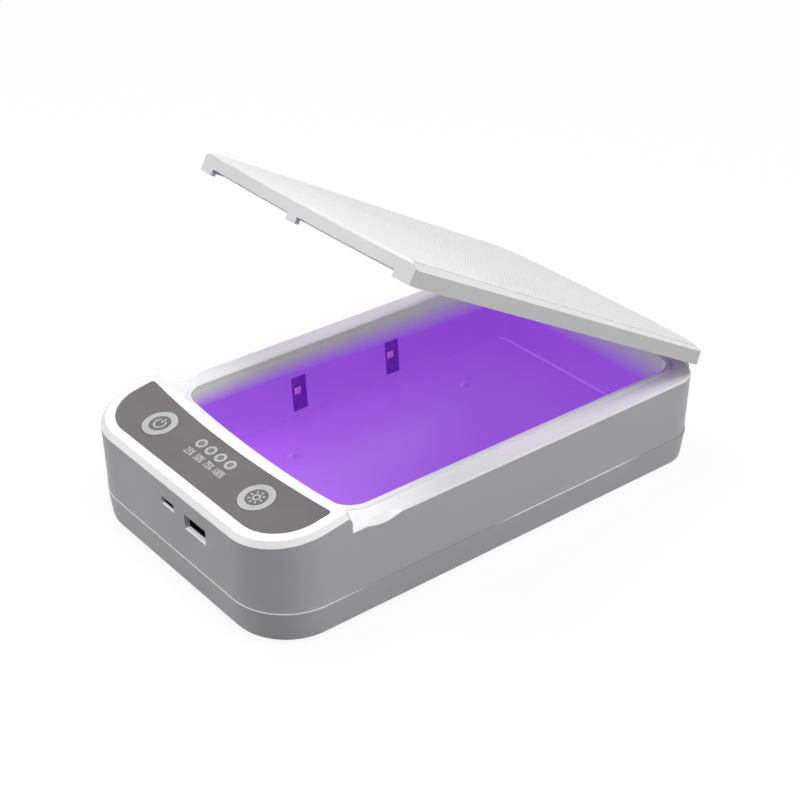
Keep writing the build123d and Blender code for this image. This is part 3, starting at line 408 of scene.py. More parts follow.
# edges painted lighter: a painted highlight, as on the case
edges = worn_and_highlit_edges(tree, 0.6 * MM)
wire(tree, blend_colours(tree, edges, dimmed, (0.86, 0.86, 0.87)), shader, "Base Color")
wire(tree, spread(tree, noise(tree, lid_place, 70.0), 0.34, 0.46), shader, "Roughness")
fine = bump(tree, noise(tree, lid_place, 2300.0, detail=3.0), 0.02 * MM)
wire(tree, bump(tree, field_points, POINT_HEIGHT, under=fine), shader, "Normal")
dress(lid_plastic, "lid_cover")

# %% [markdown]
# ## Tub
# The tub glows purple: its lamps light a glossy plastic from the side, and only the top of the
# walls stays pale. Lit plastic could be made with real lamps in the windows, but four tiny lamps
# give grain and no even glow. So the plastic gives off the purple itself. The glow is brighter
# towards the front, a little weaker on the walls, and fades to pale plastic near the lip.

# %% Where on the tub a point is
TUB_TOP, TUB_HALF_WIDTH, TUB_DRAFT = 40.8 * MM, 52.5 * MM, radians(5)
TUB_BASE = (0.12, 0.03, 0.22)
SIDE_ZONE, REAR_ZONE = (36 * MM, 50 * MM), (80 * MM, 96 * MM)  # over which the floor turns to wall
WALL_ZONE = (12.3 * MM, 22 * MM)

tub_plastic, tree, shader = start_finish(
    "tub_plastic", TUB_BASE, 0.3, IOR=1.5, Emission_Strength=1.0
)
place = place_of(tree)
tub_x, tub_y, tub_z = axes(tree, place)
across = size_of(tree, tub_x)
facing_x, facing_y, facing_z = axes(tree, facing_of(tree))
near_side = spread(tree, across, 0, 0.5, *SIDE_ZONE)
near_rear = spread(tree, tub_y, 0, 0.5, *REAR_ZONE)
up_the_wall = spread(tree, tub_z, 0, 0.5, *WALL_ZONE)
wall_part = calculate(tree, "ADD", calculate(tree, "MAXIMUM", near_side, near_rear), up_the_wall)
zone_widths = [round((zone[1] - zone[0]) / MM) for zone in (SIDE_ZONE, REAR_ZONE)]
print("the glow weakens over", zone_widths, "mm before the side and rear walls")

# %% [markdown]
# The glow is a mix of four colours, by the way from rear to front and by the share of wall. The
# rounding at the foot of the rear wall catches the light, so a thin bright line follows it.

# %% The tub's glow
FLOOR_REAR, FLOOR_FRONT = (0.215, 0.060, 0.50), (0.305, 0.096, 0.66)
WALL_REAR, WALL_FRONT = (0.205, 0.054, 0.48), (0.235, 0.070, 0.54)

to_front = rises(tree, tub_y, 95 * MM, -60 * MM)
floor_glow = blend_colours(tree, to_front, FLOOR_REAR, FLOOR_FRONT)
wall_glow = blend_colours(tree, to_front, WALL_REAR, WALL_FRONT)
glow = blend_colours(tree, wall_part, floor_glow, wall_glow)
faces_front = spread(tree, facing_y, 0.6, 0, start=-0.6, end=-0.4)
foot_line = product(tree, band_of(tree, facing_z, 0.62, 0.92), faces_front)
glow = blend_colours(tree, foot_line, glow, (0.42, 0.16, 0.84))
print("glow on the floor, rear to front:", FLOOR_REAR, FLOOR_FRONT)

# %% [markdown]
# Four low nubs stand on the tub's floor. Away from the walls nothing else stands higher than
# the floor, so their height finds them. Each gets a painted lit side and a painted shaded side in
# its glow.

# %% The tub's nubs
NUB_FOOT = (12.02 * MM, 12.2 * MM)
NUBS_SIDE = (34 * MM, 35 * MM)
NUBS_FRONT, NUBS_REAR = -57 * MM, 86 * MM

on_nub = product(
    tree,
    rises(tree, tub_z, *NUB_FOOT),
    falls(tree, across, *NUBS_SIDE),
    between(tree, tub_y, NUBS_FRONT, NUBS_REAR, 2 * MM),
)
# painted light and shade on the nubs: the glow follows which way each side faces
painted_lit_side = rises(tree, facing_x, 0.35, -0.35)
nub_light = blend_colours(tree, painted_lit_side, (0.15, 0.035, 0.40), (0.42, 0.15, 0.82))
glow = blend_colours(tree, product(tree, on_nub, 0.4), glow, nub_light)
print("the nubs begin at z =", round(NUB_FOOT[0] / MM, 2), "mm")

# %% [markdown]
# The windows for the lamps are recesses in the long walls, so they are the points that lie
# behind the slanting wall's face. The glow fades out below the lip. The fade starts lower at the
# rear than at the front, as in the photograph, and a faint ripple keeps it from being ruled.

# %% The tub's windows and its pale top
BEHIND_FACE, WINDOW_TOP = (1.0 * MM, 1.3 * MM), (29.5 * MM, 30 * MM)
FADE_FRONT, FADE_REAR, FADE_END = 31.0 * MM, 27.0 * MM, 38.2 * MM
RIPPLE = 0.4 * MM

face_at_zero = TUB_HALF_WIDTH - TUB_TOP * tan(TUB_DRAFT)
wall_face = calculate(tree, "ADD", product(tree, tub_z, tan(TUB_DRAFT)), face_at_zero)
behind_face = rises(tree, calculate(tree, "SUBTRACT", across, wall_face), *BEHIND_FACE)
in_window = product(tree, behind_face, falls(tree, tub_z, *WINDOW_TOP))
# painted shade: the windows' sides get a dark violet with little glow
glow = blend_colours(tree, in_window, glow, (0.075, 0.010, 0.24))
ripple = spread(tree, noise(tree, place, 300.0), -RIPPLE, RIPPLE, start=0.1, end=0.9)
to_rear = rises(tree, tub_y, -20 * MM, 60 * MM)
fade_start = spread(tree, to_rear, FADE_FRONT, FADE_REAR, start=0, end=1)
above_glow = rises(tree, calculate(tree, "ADD", tub_z, ripple), fade_start, FADE_END)
print("the glow fades from z =", [round(z / MM) for z in (FADE_FRONT, FADE_REAR)], "mm up")

# %% [markdown]
# The pale top gives off a little greenish light, and more of it on the long walls. This makes
# up for the purple that the glow throws onto it, which the photograph hardly shows. The lip and
# the tub's outside give off none.

# %% The tub's lip and its gloss
PALE_GLOW, PALE_SIDE_GLOW = (0.04, 0.095, 0.0), (0.125, 0.205, 0.01)
# the pale top's colour also leans green against that purple, as painted light
PALE_BASE, LIP_BASE = (0.76, 0.79, 0.69), (0.86, 0.86, 0.87)

on_side = rises(tree, size_of(tree, facing_x), 0.3, 0.8)
outwards = calculate(tree, "ADD", product(tree, facing_x, tub_x), product(tree, facing_y, tub_y))
on_outside = rises(tree, outwards, 0, 10 * MM)
on_lip = calculate(tree, "MAXIMUM", on_outside, rises(tree, facing_z, 0.3, 0.8))
pale_glow = blend_colours(tree, on_side, PALE_GLOW, PALE_SIDE_GLOW)
pale_glow = blend_colours(tree, on_lip, pale_glow, (0, 0, 0))
pale_base = blend_colours(tree, on_lip, PALE_BASE, LIP_BASE)
wire(tree, blend_colours(tree, above_glow, glow, pale_glow), shader, "Emission Color")
wire(tree, blend_colours(tree, above_glow, TUB_BASE, pale_base), shader, "Base Color")
duller_fillet = product(tree, band_of(tree, facing_z, 0.1, 0.98), 0.4)
dull = spread(tree, noise(tree, place, 45.0), 0.24, 0.36, start=0.1, end=0.9)
wire(tree, calculate(tree, "ADD", dull, duller_fillet), shader, "Roughness")
wire(tree, bump(tree, noise(tree, place, 1900.0), 0.02 * MM), shader, "Normal")
dress(tub_plastic, "inner_tray")

# %% [markdown]
# ## Lamps
# Each lamp is a small package on a narrow board: a dark frame, a pink rim that catches the light
# of the chip, and a violet lens inside. All four lie at one height and at two places along the
# box, so the distance from those centres tells rim and lens apart. The boards give off a deep
# violet, a painted glow of the lamps' light on them.

# %% Lamp finishes
LAMP_Z, LAMP_YS = 21.4 * MM, (-11.2 * MM, 37.4 * MM)
LENS_EDGE, RIM_EDGE = (0.8 * MM, 1.1 * MM), (1.4 * MM, 1.55 * MM)  # from the lamp's centre
LENS_PALE, LENS_DARK = (0.32, 0.10, 0.50), (0.17, 0.035, 0.36)

lamp_glow, tree, shader = start_finish(
    "lamp_glow", (0.12, 0.04, 0.16), 0.3, Emission_Strength=1.0, Coat_Weight=0.2
)
place = place_of(tree)
lamp_axes = axes(tree, place)
sideways = calculate(tree, "MINIMUM", *[apart(tree, lamp_axes["Y"], y) for y in LAMP_YS])
off_centre = calculate(tree, "MAXIMUM", sideways, apart(tree, lamp_axes["Z"], LAMP_Z))
facets = node(tree, "ShaderNodeTexVoronoi", {"Vector": place, "Scale": 1100.0}).outputs["Distance"]
lens = blend_colours(tree, facets, LENS_PALE, LENS_DARK)
rim = blend_colours(tree, rises(tree, off_centre, *LENS_EDGE), lens, (0.42, 0.09, 0.42))
package = blend_colours(tree, rises(tree, off_centre, *RIM_EDGE), rim, (0.09, 0.012, 0.28))
wire(tree, package, shader, "Emission Color")
dress(lamp_glow, *starting("uv_lamp"))

lamp_board, tree, shader = start_finish(
    "lamp_board", (0.03, 0.01, 0.06), 0.35, Emission_Strength=1.0
)
mask = rises(tree, noise(tree, place_of(tree), 420.0), 0.42, 0.58)
# painted light: the boards' violet is given off as the lamps' glow on them
traces = blend_colours(tree, mask, (0.075, 0.007, 0.24), (0.095, 0.012, 0.30))
wire(tree, traces, shader, "Emission Color")
wire(tree, bump(tree, mask, 0.03 * MM), shader, "Normal")
dress(lamp_board, *starting("lamp_board"))

# %% [markdown]
# ## Control panel, buttons and lights
# The panel is a dark printed film, satin and very slightly textured. The buttons are of the same
# colour inside their pale rings. The lights are the ends of milky light pipes.

# %% Finishes of the control panel
def satin_film(name, dark, pale, roughness):
    """A printed film: two close colours in soft clouds, and a very fine orange-peel texture."""
    material, tree, shader = start_finish(name, pale, roughness, IOR=1.5)
    place = place_of(tree)
    clouds = spread(tree, noise(tree, place, 60.0), 0, 1)
    wire(tree, blend_colours(tree, clouds, dark, pale), shader, "Base Color")
    dull = spread(tree, noise(tree, place, 260.0), roughness, roughness + 0.08)
    wire(tree, dull, shader, "Roughness")
    wire(tree, bump(tree, noise(tree, place, 1500.0), 0.012 * MM), shader, "Normal")
    return material


panel_film = satin_film("panel_film", (0.113, 0.107, 0.110), (0.130, 0.122, 0.125), 0.34)
dress(panel_film, "control_panel", "left_button_cap", "right_button_cap")
ring_plastic = satin_film("ring_plastic", (0.44, 0.45, 0.43), (0.50, 0.512, 0.485), 0.30)
dress(ring_plastic, "left_button_ring", "right_button_ring", "light_rings")
light_pipe = satin_film("light_pipe", (0.17, 0.17, 0.175), (0.22, 0.22, 0.225), 0.22)
dress(light_pipe, *starting("light_pipe"))

# %% [markdown]
# ## Metals
# The port shells are nickel-plated sheet, drawn lengthwise, so their scratches run along Y.
# Screws and pins are turned steel. A noise that is stretched along one axis gives the lines.

# %% Metal finishes
def drawn_metal(name, dark, pale, roughness, cells):
    """Metal with fine lines: noise whose cells are long along an axis with few to the metre."""
    material, tree, shader = start_finish(name, pale, roughness, Metallic=1.0)
    stretched = node(tree, "ShaderNodeMapping", {"Vector": place_of(tree), "Scale": cells})
    lines = noise(tree, stretched.outputs["Vector"], 1.0, detail=4.0)
    wire(tree, blend_colours(tree, spread(tree, lines, 0, 1), dark, pale), shader, "Base Color")
    wire(tree, spread(tree, lines, roughness, roughness + 0.15), shader, "Roughness")
    wire(tree, bump(tree, lines, 0.008 * MM), shader, "Normal")
    return material


ALONG_X, ALONG_Y, ALONG_Z = (150, 2600, 2600), (3000, 120, 3000), (900, 900, 2600)
pin_steel = drawn_metal("pin_steel", (0.45, 0.45, 0.46), (0.60, 0.60, 0.61), 0.30, ALONG_X)
dress(pin_steel, "left_hinge_pin", "right_hinge_pin", "lid_magnet")
screw_steel = drawn_metal("screw_steel", (0.36, 0.36, 0.37), (0.55, 0.55, 0.56), 0.34, ALONG_Z)
port_metal = drawn_metal("port_metal", (0.52, 0.52, 0.54), (0.66, 0.66, 0.67), 0.26, ALONG_Y)
dress(port_metal, "usb_a_shell", "micro_usb_shell")

# %% [markdown]
# A shell's mouth is bright and its inside is painted black as shade, because hardly any light
# gets in. In the wide port the lower wall, its sill, is lit further in than the other walls. A
# sill's light is painted as a pale colour, hardly metallic, since a mirror would show the dark
# inside instead.

# %% Insides of the port shells
SILLS_LIT = (CASE_FRONT + 1.1 * MM, CASE_FRONT + 2.2 * MM)  # y, in the narrow and the wide port
WALLS_LIT = CASE_FRONT + 1.4 * MM

tree, shader = tree_and_shader(port_metal)
port_axes = axes(tree, place_of(tree))
on_sill = rises(tree, axes(tree, facing_of(tree))["Z"], 0.5, 0.8)
sill_reach = spread(tree, port_axes["X"], *SILLS_LIT, *PORTS_DIVIDE)
wall_reach = spread(tree, on_sill, WALLS_LIT, SILLS_LIT[1], start=0, end=1)
reach = calculate(tree, "MINIMUM", sill_reach, wall_reach)
inside = rises(tree, port_axes["Y"], reach, calculate(tree, "ADD", reach, 0.3 * MM))
# painted light on the sills, and painted shade inside the shells
paint_over(tree, shader, on_sill, (0.93, 0.94, 0.96))
paint_over(tree, shader, inside, (0.012, 0.012, 0.013))
wire(tree, spread(tree, on_sill, 1, 0.1, start=0, end=1), shader, "Metallic")
print("sills bright to y =", [round(y / MM, 1) for y in SILLS_LIT], "mm")

# %% [markdown]
# ## Small plastics, rubber and the board's parts
# The rest are finishes that are mostly hidden. Each still differs from its neighbour: black
# insulators in the ports, off-white nylon washers, dull rubber feet with a moulding texture, and
# a green board whose copper tracks show through the mask as straight runs.

# %% Small finishes
def plain_plastic(name, dark, pale, roughness, scale, depth):
    """A plastic or rubber with clouds of colour and a grain of a given size."""
    material, tree, shader = start_finish(name, pale, roughness)
    place = place_of(tree)
    clouds = spread(tree, noise(tree, place, scale / 8), 0, 1)
    wire(tree, blend_colours(tree, clouds, dark, pale), shader, "Base Color")
    rougher = min(1.0, roughness + 0.12)
    wire(tree, spread(tree, noise(tree, place, scale / 3), roughness, rougher), shader, "Roughness")
    wire(tree, bump(tree, noise(tree, place, scale), depth), shader, "Normal")
    return material


PORT_TONGUES = ("usb_a_tongue", "micro_usb_tongue")
WASHERS = ("left_hinge_washers", "right_hinge_washers")
CHIPS = ("controller_chip", "left_tact_switch", "right_tact_switch", "lid_sensor", "power_coil")
LED_PARTS = ("indicator_leds", "left_switch_plunger", "right_switch_plunger")
# in each row: name, dark and pale colour, roughness, grain cells to the metre, their depth in
# millimetres, and the pieces
for name, dark, pale, roughness, scale, depth, pieces in (
    ("port_black", (0.012, 0.012, 0.013), (0.022, 0.022, 0.024), 0.42, 1800, 0.01, PORT_TONGUES),
    ("washer_nylon", (0.62, 0.60, 0.54), (0.72, 0.70, 0.64), 0.45, 900, 0.01, WASHERS),
    ("foot_rubber", (0.10,) * 3, (0.15,) * 3, 0.72, 1100, 0.05, starting("rubber_foot")),
    ("chip_epoxy", (0.018, 0.018, 0.02), (0.03, 0.03, 0.032), 0.5, 2400, 0.01, CHIPS),
    ("led_white", (0.72, 0.66, 0.42), (0.82, 0.78, 0.60), 0.3, 1500, 0.01, LED_PARTS),
    ("liner_plastic", (0.70, 0.70, 0.72), (0.76, 0.76, 0.78), 0.34, 600, 0.03, ["lid_liner"]),
):
    dress(plain_plastic(name, dark, pale, roughness, scale, depth * MM), *pieces)

# %% [markdown]
# The board's tracks are the joints of a brick pattern: straight runs that turn at right angles.

# %% Circuit board finish
BLACK, WHITE = (0, 0, 0, 1), (1, 1, 1, 1)
board_mask, tree, shader = start_finish("board_mask", (0.02, 0.16, 0.06), 0.34, Coat_Weight=0.3)
place = place_of(tree)
runs = {"Scale": 220.0, "Mortar Size": 0.09, "Color1": BLACK, "Color2": BLACK, "Mortar": WHITE}
tracks = node(tree, "ShaderNodeTexBrick", {"Vector": place, **runs}, offset=0.37).outputs["Color"]
cloud = spread(tree, noise(tree, place, 80.0), 0, 1)
mask_green = blend_colours(tree, cloud, (0.015, 0.13, 0.05), (0.025, 0.17, 0.07))
wire(tree, blend_colours(tree, tracks, mask_green, (0.06, 0.30, 0.12)), shader, "Base Color")
wire(tree, bump(tree, tracks, 0.035 * MM), shader, "Normal")
dress(board_mask, "control_board")

# %% [markdown]
# ## Meshes from grids
# The new pieces are surfaces worked out with numpy. A surface is an array of points, ring after
# ring. One helper joins neighbouring rings with faces and closes the two ends, another makes the
# object. The point arrays go into the mesh at once, with no loop over vertices.

# %% Helpers for meshes
def ring_faces(rings, around, first=0):
    """Faces of a closed tube as lists of indices.

    Quads join the points of neighbouring rings, and one polygon closes each end.
    """
    i, j = np.meshgrid(np.arange(rings - 1), np.arange(around), indexing="ij")
    k = (j + 1) % around
    here, there = i * around, (i + 1) * around
    quads = np.stack([here + j, here + k, there + k, there + j], axis=-1)
    caps = [list(range(around))[::-1], list(range((rings - 1) * around, rings * around))]
    return (quads.reshape(-1, 4) + first).tolist() + [[first + v for v in cap] for cap in caps]


def add_piece(name, mesh, material, body):
    """Makes an object of a mesh, gives it a finish, and sets it to ride on a body."""
    mesh.name = name
    mesh.materials.append(material)
    piece = bpy.data.objects.new(name, mesh)
    bpy.context.collection.objects.link(piece)
    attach(piece, body)
    print(name, len(mesh.vertices), "points,", len(mesh.polygons), "faces")
    return piece


def make_piece(name, parts, material, body, smooth=True):
    """One object from several tubes of points (rings, around, 3), riding on a body."""
    points, faces = [], []
    for part in parts:
        faces += ring_faces(part.shape[0], part.shape[1], first=sum(len(p) for p in points))
        points.append(part.reshape(-1, 3))
    mesh = bpy.data.meshes.new(name)
    mesh.from_pydata(np.concatenate(points).tolist(), [], faces)
    mesh.polygons.foreach_set("use_smooth", np.full(len(mesh.polygons), smooth))
    mesh.update()
    return add_piece(name, mesh, material, body)


# %% [markdown]
# ## Screws
# A screw is one surface: a profile that runs from the middle of the head's face, over the rim,
# down the head and along the shank to the tip. The face dips into a cross recess, and the shank
# swells and shrinks with a thread that climbs one pitch per turn.

# %% Screw shape
FACE_SHARE, RIM_SHARE = 0.9, 0.85  # of the head's radius, and of its height
SLOT_HALF, SLOT_REACH, SLOT_DEPTH = 0.17, 0.62, 0.55  # of the radius, the radius and the height
THREAD_DEPTH = 0.2  # of the shank's radius


def screw_profile(length, shank, head, head_height, pitch):
    """Radius and distance along the axis of each ring, and how many rings the shank has.

    The face is level out to nine tenths of the radius, the rim is rounded by a sine and a
    cosine, the head falls straight to its seat, and the shank runs down to a small tip.
    """
    face = np.linspace(0.04, FACE_SHARE, 12) * head
    rim = np.linspace(0, pi / 2, 4)
    down = np.linspace(0.0, length, max(12, int(6 * length / pitch)))
    rim_radius = head * (FACE_SHARE + (1 - FACE_SHARE) * np.sin(rim))
    rim_height = head_height * (RIM_SHARE + (1 - RIM_SHARE) * np.cos(rim))
    radius = [face, rim_radius, [head, shank], shank + 0 * down, [0.05 * shank]]
    along = [head_height + 0 * face, rim_height, [0, 0], -down, [-length]]
    return np.concatenate(radius), np.concatenate(along), len(down)


def screw_points(seat, outward, length, shank, head, head_height, pitch, around=28):
    """A pan-head screw as rings of points.

    The radius and the distance along the axis follow the profile. On the face the depth of the
    recess is added where the point lies within half a slot's width of either of two crossed
    lines. On the shank the radius loses up to a fifth in a saw of the height less the angle.
    """
    seat, outward = np.asarray(seat, float), np.asarray(outward, float)
    side = np.cross(outward, (1.0, 0.0, 0.0))
    side /= np.linalg.norm(side)
    other = np.cross(outward, side)
    radius, along, shank_rings = screw_profile(length, shank, head, head_height, pitch)
    r, a = np.meshgrid(radius, np.linspace(0, 2 * pi, around, endpoint=False), indexing="ij")
    z = np.broadcast_to(along[:, None], r.shape).copy()

    on_axes = np.abs(r * np.cos(a)), np.abs(r * np.sin(a))
    within_width = (SLOT_HALF * head - np.minimum(*on_axes)) / (0.06 * head)
    within_reach = (SLOT_REACH * head - np.maximum(*on_axes)) / (0.12 * head)
    in_slot = np.clip(within_width, 0, 1) * np.clip(within_reach, 0, 1)
    z -= np.where(z > 0.8 * head_height, SLOT_DEPTH * head_height * in_slot, 0)

    saw = np.abs(((z / pitch + a / (2 * pi)) % 1.0) - 0.5) * 2
    on_shank = (np.arange(len(radius)) >= len(radius) - shank_rings)[:, None]
    r = np.where(on_shank, r * (1 - THREAD_DEPTH * saw), r)[..., None]
    turned = np.cos(a)[..., None] * side + np.sin(a)[..., None] * other
    return seat + r * turned + z[..., None] * outward


# %% [markdown]
# Each set of screws is one CAD node. The new screws replace three of the sets, and the lid's
# set keeps its solids. The frame gives one box for a whole set, and finding its heads by
# grouping their points would depend on luck. So the places are repeated from the CAD, where
# they are named values.

# %% Screws in place
def mirrored(spots, z):
    """Places in metres from x and y in millimetres, each also on the other side of the box."""
    return [(s * x * MM, y * MM, z) for x, y in spots for s in (-1, 1)]


SEAT_Z = 3.0 * MM
case_places = mirrored(((48.0, -90.0), (56.9, 78.0)), SEAT_Z)
tray_places = mirrored(((34.0, -40.0), (34.0, 74.0)), SEAT_Z)
board_places = mirrored(((37.5, -98.9), (18.0, -80.9)), BOARD_TOP - 1.6 * MM)
large = dict(shank=1.4 * MM, head=2.6 * MM, head_height=1.6 * MM, pitch=0.9 * MM)
small = dict(shank=1.0 * MM, head=2.0 * MM, head_height=0.9 * MM, pitch=0.6 * MM)
for name, places, length, sizes in (
    ("case_screws", case_places, 16.0 * MM, large),
    ("tray_screws", tray_places, 6.8 * MM, large),
    ("board_screws", board_places, 5.0 * MM, small),
):
    threads = [screw_points(place, (0, 0, -1), length, **sizes) for place in places]
    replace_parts(make_piece(name + "_cut", threads, screw_steel, "case"), name)
dress(screw_steel, "lid_screws")

# %% [markdown]
# ## Printed marks
# The panel carries 25 %, 50 %, 75 % and 100 % in front of its lights, and each button a plain
# sign. Print is a very thin layer, so each mark is a flat outline lifted 0.03 mm off the panel.
# Blender's text object gives the digits. It is made a mesh first, and numpy then lays the mesh
# on the slope, because the finished object has to stay at the origin.

# %% Number marks
print_ink = satin_film("print_ink", (0.50, 0.50, 0.49), (0.57, 0.57, 0.56), 0.4)
INK = 0.03 * MM
LIGHTS_X = [(i - 1.5) * 6.2 * MM for i in range(4)]
MARKS_ASIDE, MARKS_Y = 0.5 * MM, -91.3 * MM  # to the right of a light's middle, and the foot
DIGIT_HEIGHT, DIGIT_SQUEEZE, DIGIT_WEIGHT = 3.1 * MM, 0.62, 0.07 * MM
DIGIT_SHARE = 0.7  # of a font's size that a digit is high


def number_mark(words, x, y):
    """A word on the panel, centred on x with its foot at y, as thick as a layer of ink."""
    text = bpy.data.curves.new("mark_text", "FONT")
    text.body, text.align_x = words, "CENTER"
    text.size, text.offset = DIGIT_HEIGHT / DIGIT_SHARE, DIGIT_WEIGHT
    text.resolution_u = 4
    writer = bpy.data.objects.new("mark_text", text)
    flat = bpy.data.meshes.new_from_object(writer)
    bpy.data.objects.remove(writer)
    points = np.empty(3 * len(flat.vertices))
    flat.vertices.foreach_get("co", points)
    right, up = points.reshape(-1, 3)[:, :2].T
    flat.vertices.foreach_set("co", on_deck(x + DIGIT_SQUEEZE * right, y + up, INK).ravel())
    flat.update()
    return flat


for words, x in zip(("25%", "50%", "75%", "100%"), LIGHTS_X):
    mark = number_mark(words, x + MARKS_ASIDE, MARKS_Y)
    add_piece("mark_" + words.strip("%"), mark, print_ink, "case")

# %% [markdown]
# The signs on the buttons are bands: a path on the panel with a width. One is the common sign
# for on and off, an open circle with a bar. The other is a lamp's sign, a circle with rays.

# %% Paths and bands
def band(path_x, path_y, width, lift):
    """A flat band along a path.

    Four rails run half a width to each side of the path, at the top and the foot of the ink.
    """
    dx, dy = np.gradient(path_x), np.gradient(path_y)
    size = np.hypot(dx, dy)
    nx, ny = -dy / size * width / 2, dx / size * width / 2
    rails = [(-1, lift - INK), (1, lift - INK), (1, lift), (-1, lift)]
    return np.stack([on_deck(path_x + s * nx, path_y + s * ny, up) for s, up in rails], axis=1)


BUTTON_X, BUTTON_Y = 31.5 * MM, -88.3 * MM


def arc(x, start, end, radius, steps=40):
    """Points on a circle round a button's centre, between two angles in degrees."""
    turn = np.radians(np.linspace(start, end, steps))
    return x + radius * np.cos(turn), BUTTON_Y + radius * np.sin(turn)


def stroke(x, angle, inner, outer):
    """Points on a straight line out from a button's centre."""
    reach = np.linspace(inner, outer, 3)
    return x + reach * cos(radians(angle)), BUTTON_Y + reach * sin(radians(angle))


# %% Button signs
SIGN_LIFT = 0.18 * MM  # the caps stand 0.15 mm proud of the panel
POWER_WIDTH, LAMP_WIDTH, RAYS = 0.62 * MM, 0.55 * MM, 8

power_paths = [arc(-BUTTON_X, 125, 415, 2.3 * MM), stroke(-BUTTON_X, 90, 0.6 * MM, 3.1 * MM)]
ray_angles = [360 * i / RAYS for i in range(RAYS)]
lamp_paths = [arc(BUTTON_X, 0, 360, 1.25 * MM)]
lamp_paths += [stroke(BUTTON_X, angle, 2.1 * MM, 3.2 * MM) for angle in ray_angles]
power_sign = [band(*path, POWER_WIDTH, SIGN_LIFT) for path in power_paths]
lamp_sign = [band(*path, LAMP_WIDTH, SIGN_LIFT) for path in lamp_paths]
make_piece("power_sign", power_sign, print_ink, "left_button", smooth=False)
make_piece("lamp_sign", lamp_sign, print_ink, "right_button", smooth=False)

# %% [markdown]
# ## Small parts on the circuit board
# Resistors and capacitors are tiny rounded bricks. A superellipsoid is such a brick: a ball
# whose sines and cosines are raised to a small power, so that it fills out its box.

# %% Board parts
BRICK_SIZE = np.array((1.6, 0.8, 0.6)) * MM
FRONT_ROW = [(x, -98) for x in (-12, -9, -6, 6, 9, 12)]  # x and y in millimetres
REAR_ROW = [(x, -94) for x in (-9, 9, 12, -12)]
POLE_GAP = 0.02  # radians left open at each pole, which a small cap closes


def rounded_brick(centre, size, power=0.35, rings=10, around=20):
    """A ball squared up by a power below 1 and scaled to a box.

    The x, y and z of each point are the signed powers of the sines and cosines of its angles.
    """
    rise = np.linspace(-pi / 2 + POLE_GAP, pi / 2 - POLE_GAP, rings)
    up, turn = np.meshgrid(rise, np.linspace(0, 2 * pi, around, endpoint=False), indexing="ij")

    def squared(value):
        return np.sign(value) * np.abs(value) ** power

    x, y = squared(np.cos(up)) * squared(np.cos(turn)), squared(np.cos(up)) * squared(np.sin(turn))
    return np.asarray(centre) + np.stack([x, y, squared(np.sin(up))], axis=-1) * size / 2


part_ceramic = plain_plastic(
    "part_ceramic", (0.20, 0.13, 0.08), (0.28, 0.19, 0.12), 0.4, 1600, 0.01 * MM
)
bricks = [
    rounded_brick((x * MM, y * MM, BOARD_TOP + BRICK_SIZE[2] / 2), BRICK_SIZE)
    for x, y in FRONT_ROW + REAR_ROW
]
make_piece("board_resistors", bricks, part_ceramic, "case")

# %% [markdown]
# ## Floor, light and camera
# The photograph was taken in a white studio and cut out. The floor is white to the camera and
# a mid grey to the light that bounces, so that it brightens the case from below less than a
# white table would, and it keeps the object's shadow. Two lamps high above do most of the work,
# because the tops are nearly white and the walls a mid grey. Two weaker lamps light the walls.

# %% Floor
FLOOR_HALF = 9  # metres from its middle to its edge
FLOOR_TO_BOUNCES, FLOOR_TO_CAMERA = (0.26, 0.26, 0.26), (0.90, 0.90, 0.90)
WHITE_SHARE = 0.92  # the rest of what the camera sees is paint, which keeps the shadow


def seen_directly(tree):
    """1 for rays from the camera, mirrors and glass, 0 for light that bounces."""
    path = node(tree, "ShaderNodeLightPath", {})
    most = calculate(tree, "MAXIMUM", path.outputs["Is Camera Ray"], path.outputs["Is Glossy Ray"])
    return calculate(tree, "MAXIMUM", most, path.outputs["Is Transmission Ray"])


floor_finish = bpy.data.materials.new("floor_finish")
floor_finish.use_nodes = True
tree = floor_finish.node_tree
tree.nodes.clear()
paint = blend_colours(tree, seen_directly(tree), FLOOR_TO_BOUNCES, FLOOR_TO_CAMERA)
matt = node(tree, "ShaderNodeBsdfDiffuse", {"Color": paint}).outputs["BSDF"]
white = node(tree, "ShaderNodeEmission", {"Color": WHITE, "Strength": 1.0}).outputs["Emission"]
share = product(tree, seen_directly(tree), WHITE_SHARE)
mixed = node(tree, "ShaderNodeMixShader", {0: share, 1: matt, 2: white}).outputs["Shader"]
node(tree, "ShaderNodeOutputMaterial", {"Surface": mixed})

floor_mesh = bpy.data.meshes.new("floor")
corners = [(x * FLOOR_HALF, y * FLOOR_HALF, 0) for x, y in ((-1, -1), (1, -1), (1, 1), (-1, 1))]
floor_mesh.from_pydata(corners, [], [(0, 1, 2, 3)])
floor_mesh.materials.append(floor_finish)
floor = bpy.data.objects.new("floor", floor_mesh)
bpy.context.collection.objects.link(floor)
print("floor size in m:", floor.dimensions.x)

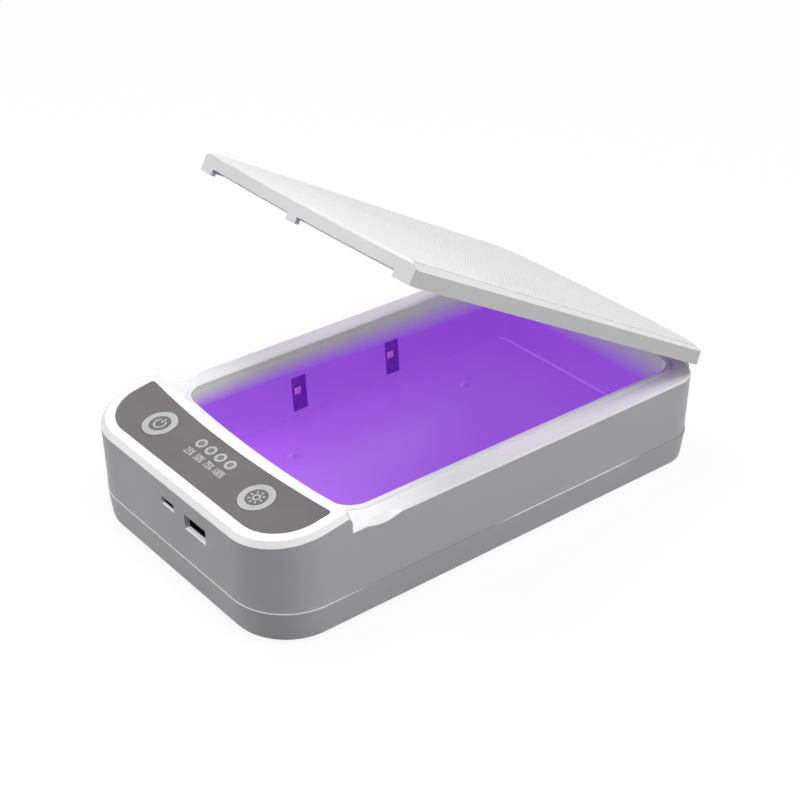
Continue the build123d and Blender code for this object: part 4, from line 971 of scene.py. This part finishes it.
# %% World
WORLD_TO_OBJECT, WORLD_TO_CAMERA = 0.02, 1.0
world = bpy.data.worlds.new("studio")
bpy.context.scene.world = world
world.use_nodes = True
tree = world.node_tree
tree.nodes.clear()
strength = spread(tree, seen_directly(tree), WORLD_TO_OBJECT, WORLD_TO_CAMERA, start=0, end=1)
sky = node(tree, "ShaderNodeBackground", {"Color": WHITE, "Strength": strength})
node(tree, "ShaderNodeOutputWorld", {"Surface": sky.outputs["Background"]})
print("world strength on the object:", WORLD_TO_OBJECT)

# %% Lamps of the studio
def soft_lamp(name, watts, size, place, aim):
    """A square lamp at a place, turned to shine at a point."""
    lamp = bpy.data.lights.new(name, "AREA")
    lamp.energy, lamp.size = watts, size
    stand = bpy.data.objects.new(name, lamp)
    stand.location = place
    x, y, z = np.subtract(aim, place)
    stand.rotation_euler = (np.arctan2(np.hypot(x, y), -z), 0, np.arctan2(y, x) - pi / 2)
    bpy.context.collection.objects.link(stand)
    print(name, watts, "W")


FOOT, MIDDLE = (0, 0, 0), (0, 0, 0.05)
soft_lamp("high_right_lamp", 12.3, 0.6, (0.5, -0.1, 1.5), FOOT)
soft_lamp("high_left_lamp", 11.0, 0.6, (-0.5, -0.1, 1.5), FOOT)
soft_lamp("rear_right_lamp", 6.7, 0.8, (1.3, 0.8, 0.9), MIDDLE)
soft_lamp("front_left_lamp", 6.5, 0.8, (-0.9, -1.3, 0.8), MIDDLE)

# %% [markdown]
# The camera was found from the photograph's edges and corners: it stands in front and to the
# right, about 31 degrees above the table, and looks through a long lens.

# %% Camera
LOOKS_DOWN, LOOKS_ROUND = radians(30.60), radians(51.24)
camera = bpy.data.cameras.new("camera")
camera.lens, camera.sensor_width = 75.39, 36.0
tripod = bpy.data.objects.new("camera", camera)
tripod.location = (0.43767, -0.35085, 0.36869)
tripod.rotation_euler = (pi / 2 - LOOKS_DOWN, 0, LOOKS_ROUND)
bpy.context.collection.objects.link(tripod)
bpy.context.scene.camera = tripod
bpy.context.scene.view_settings.view_transform = "Standard"
print("camera distance in m:", round(tripod.location.length, 3))
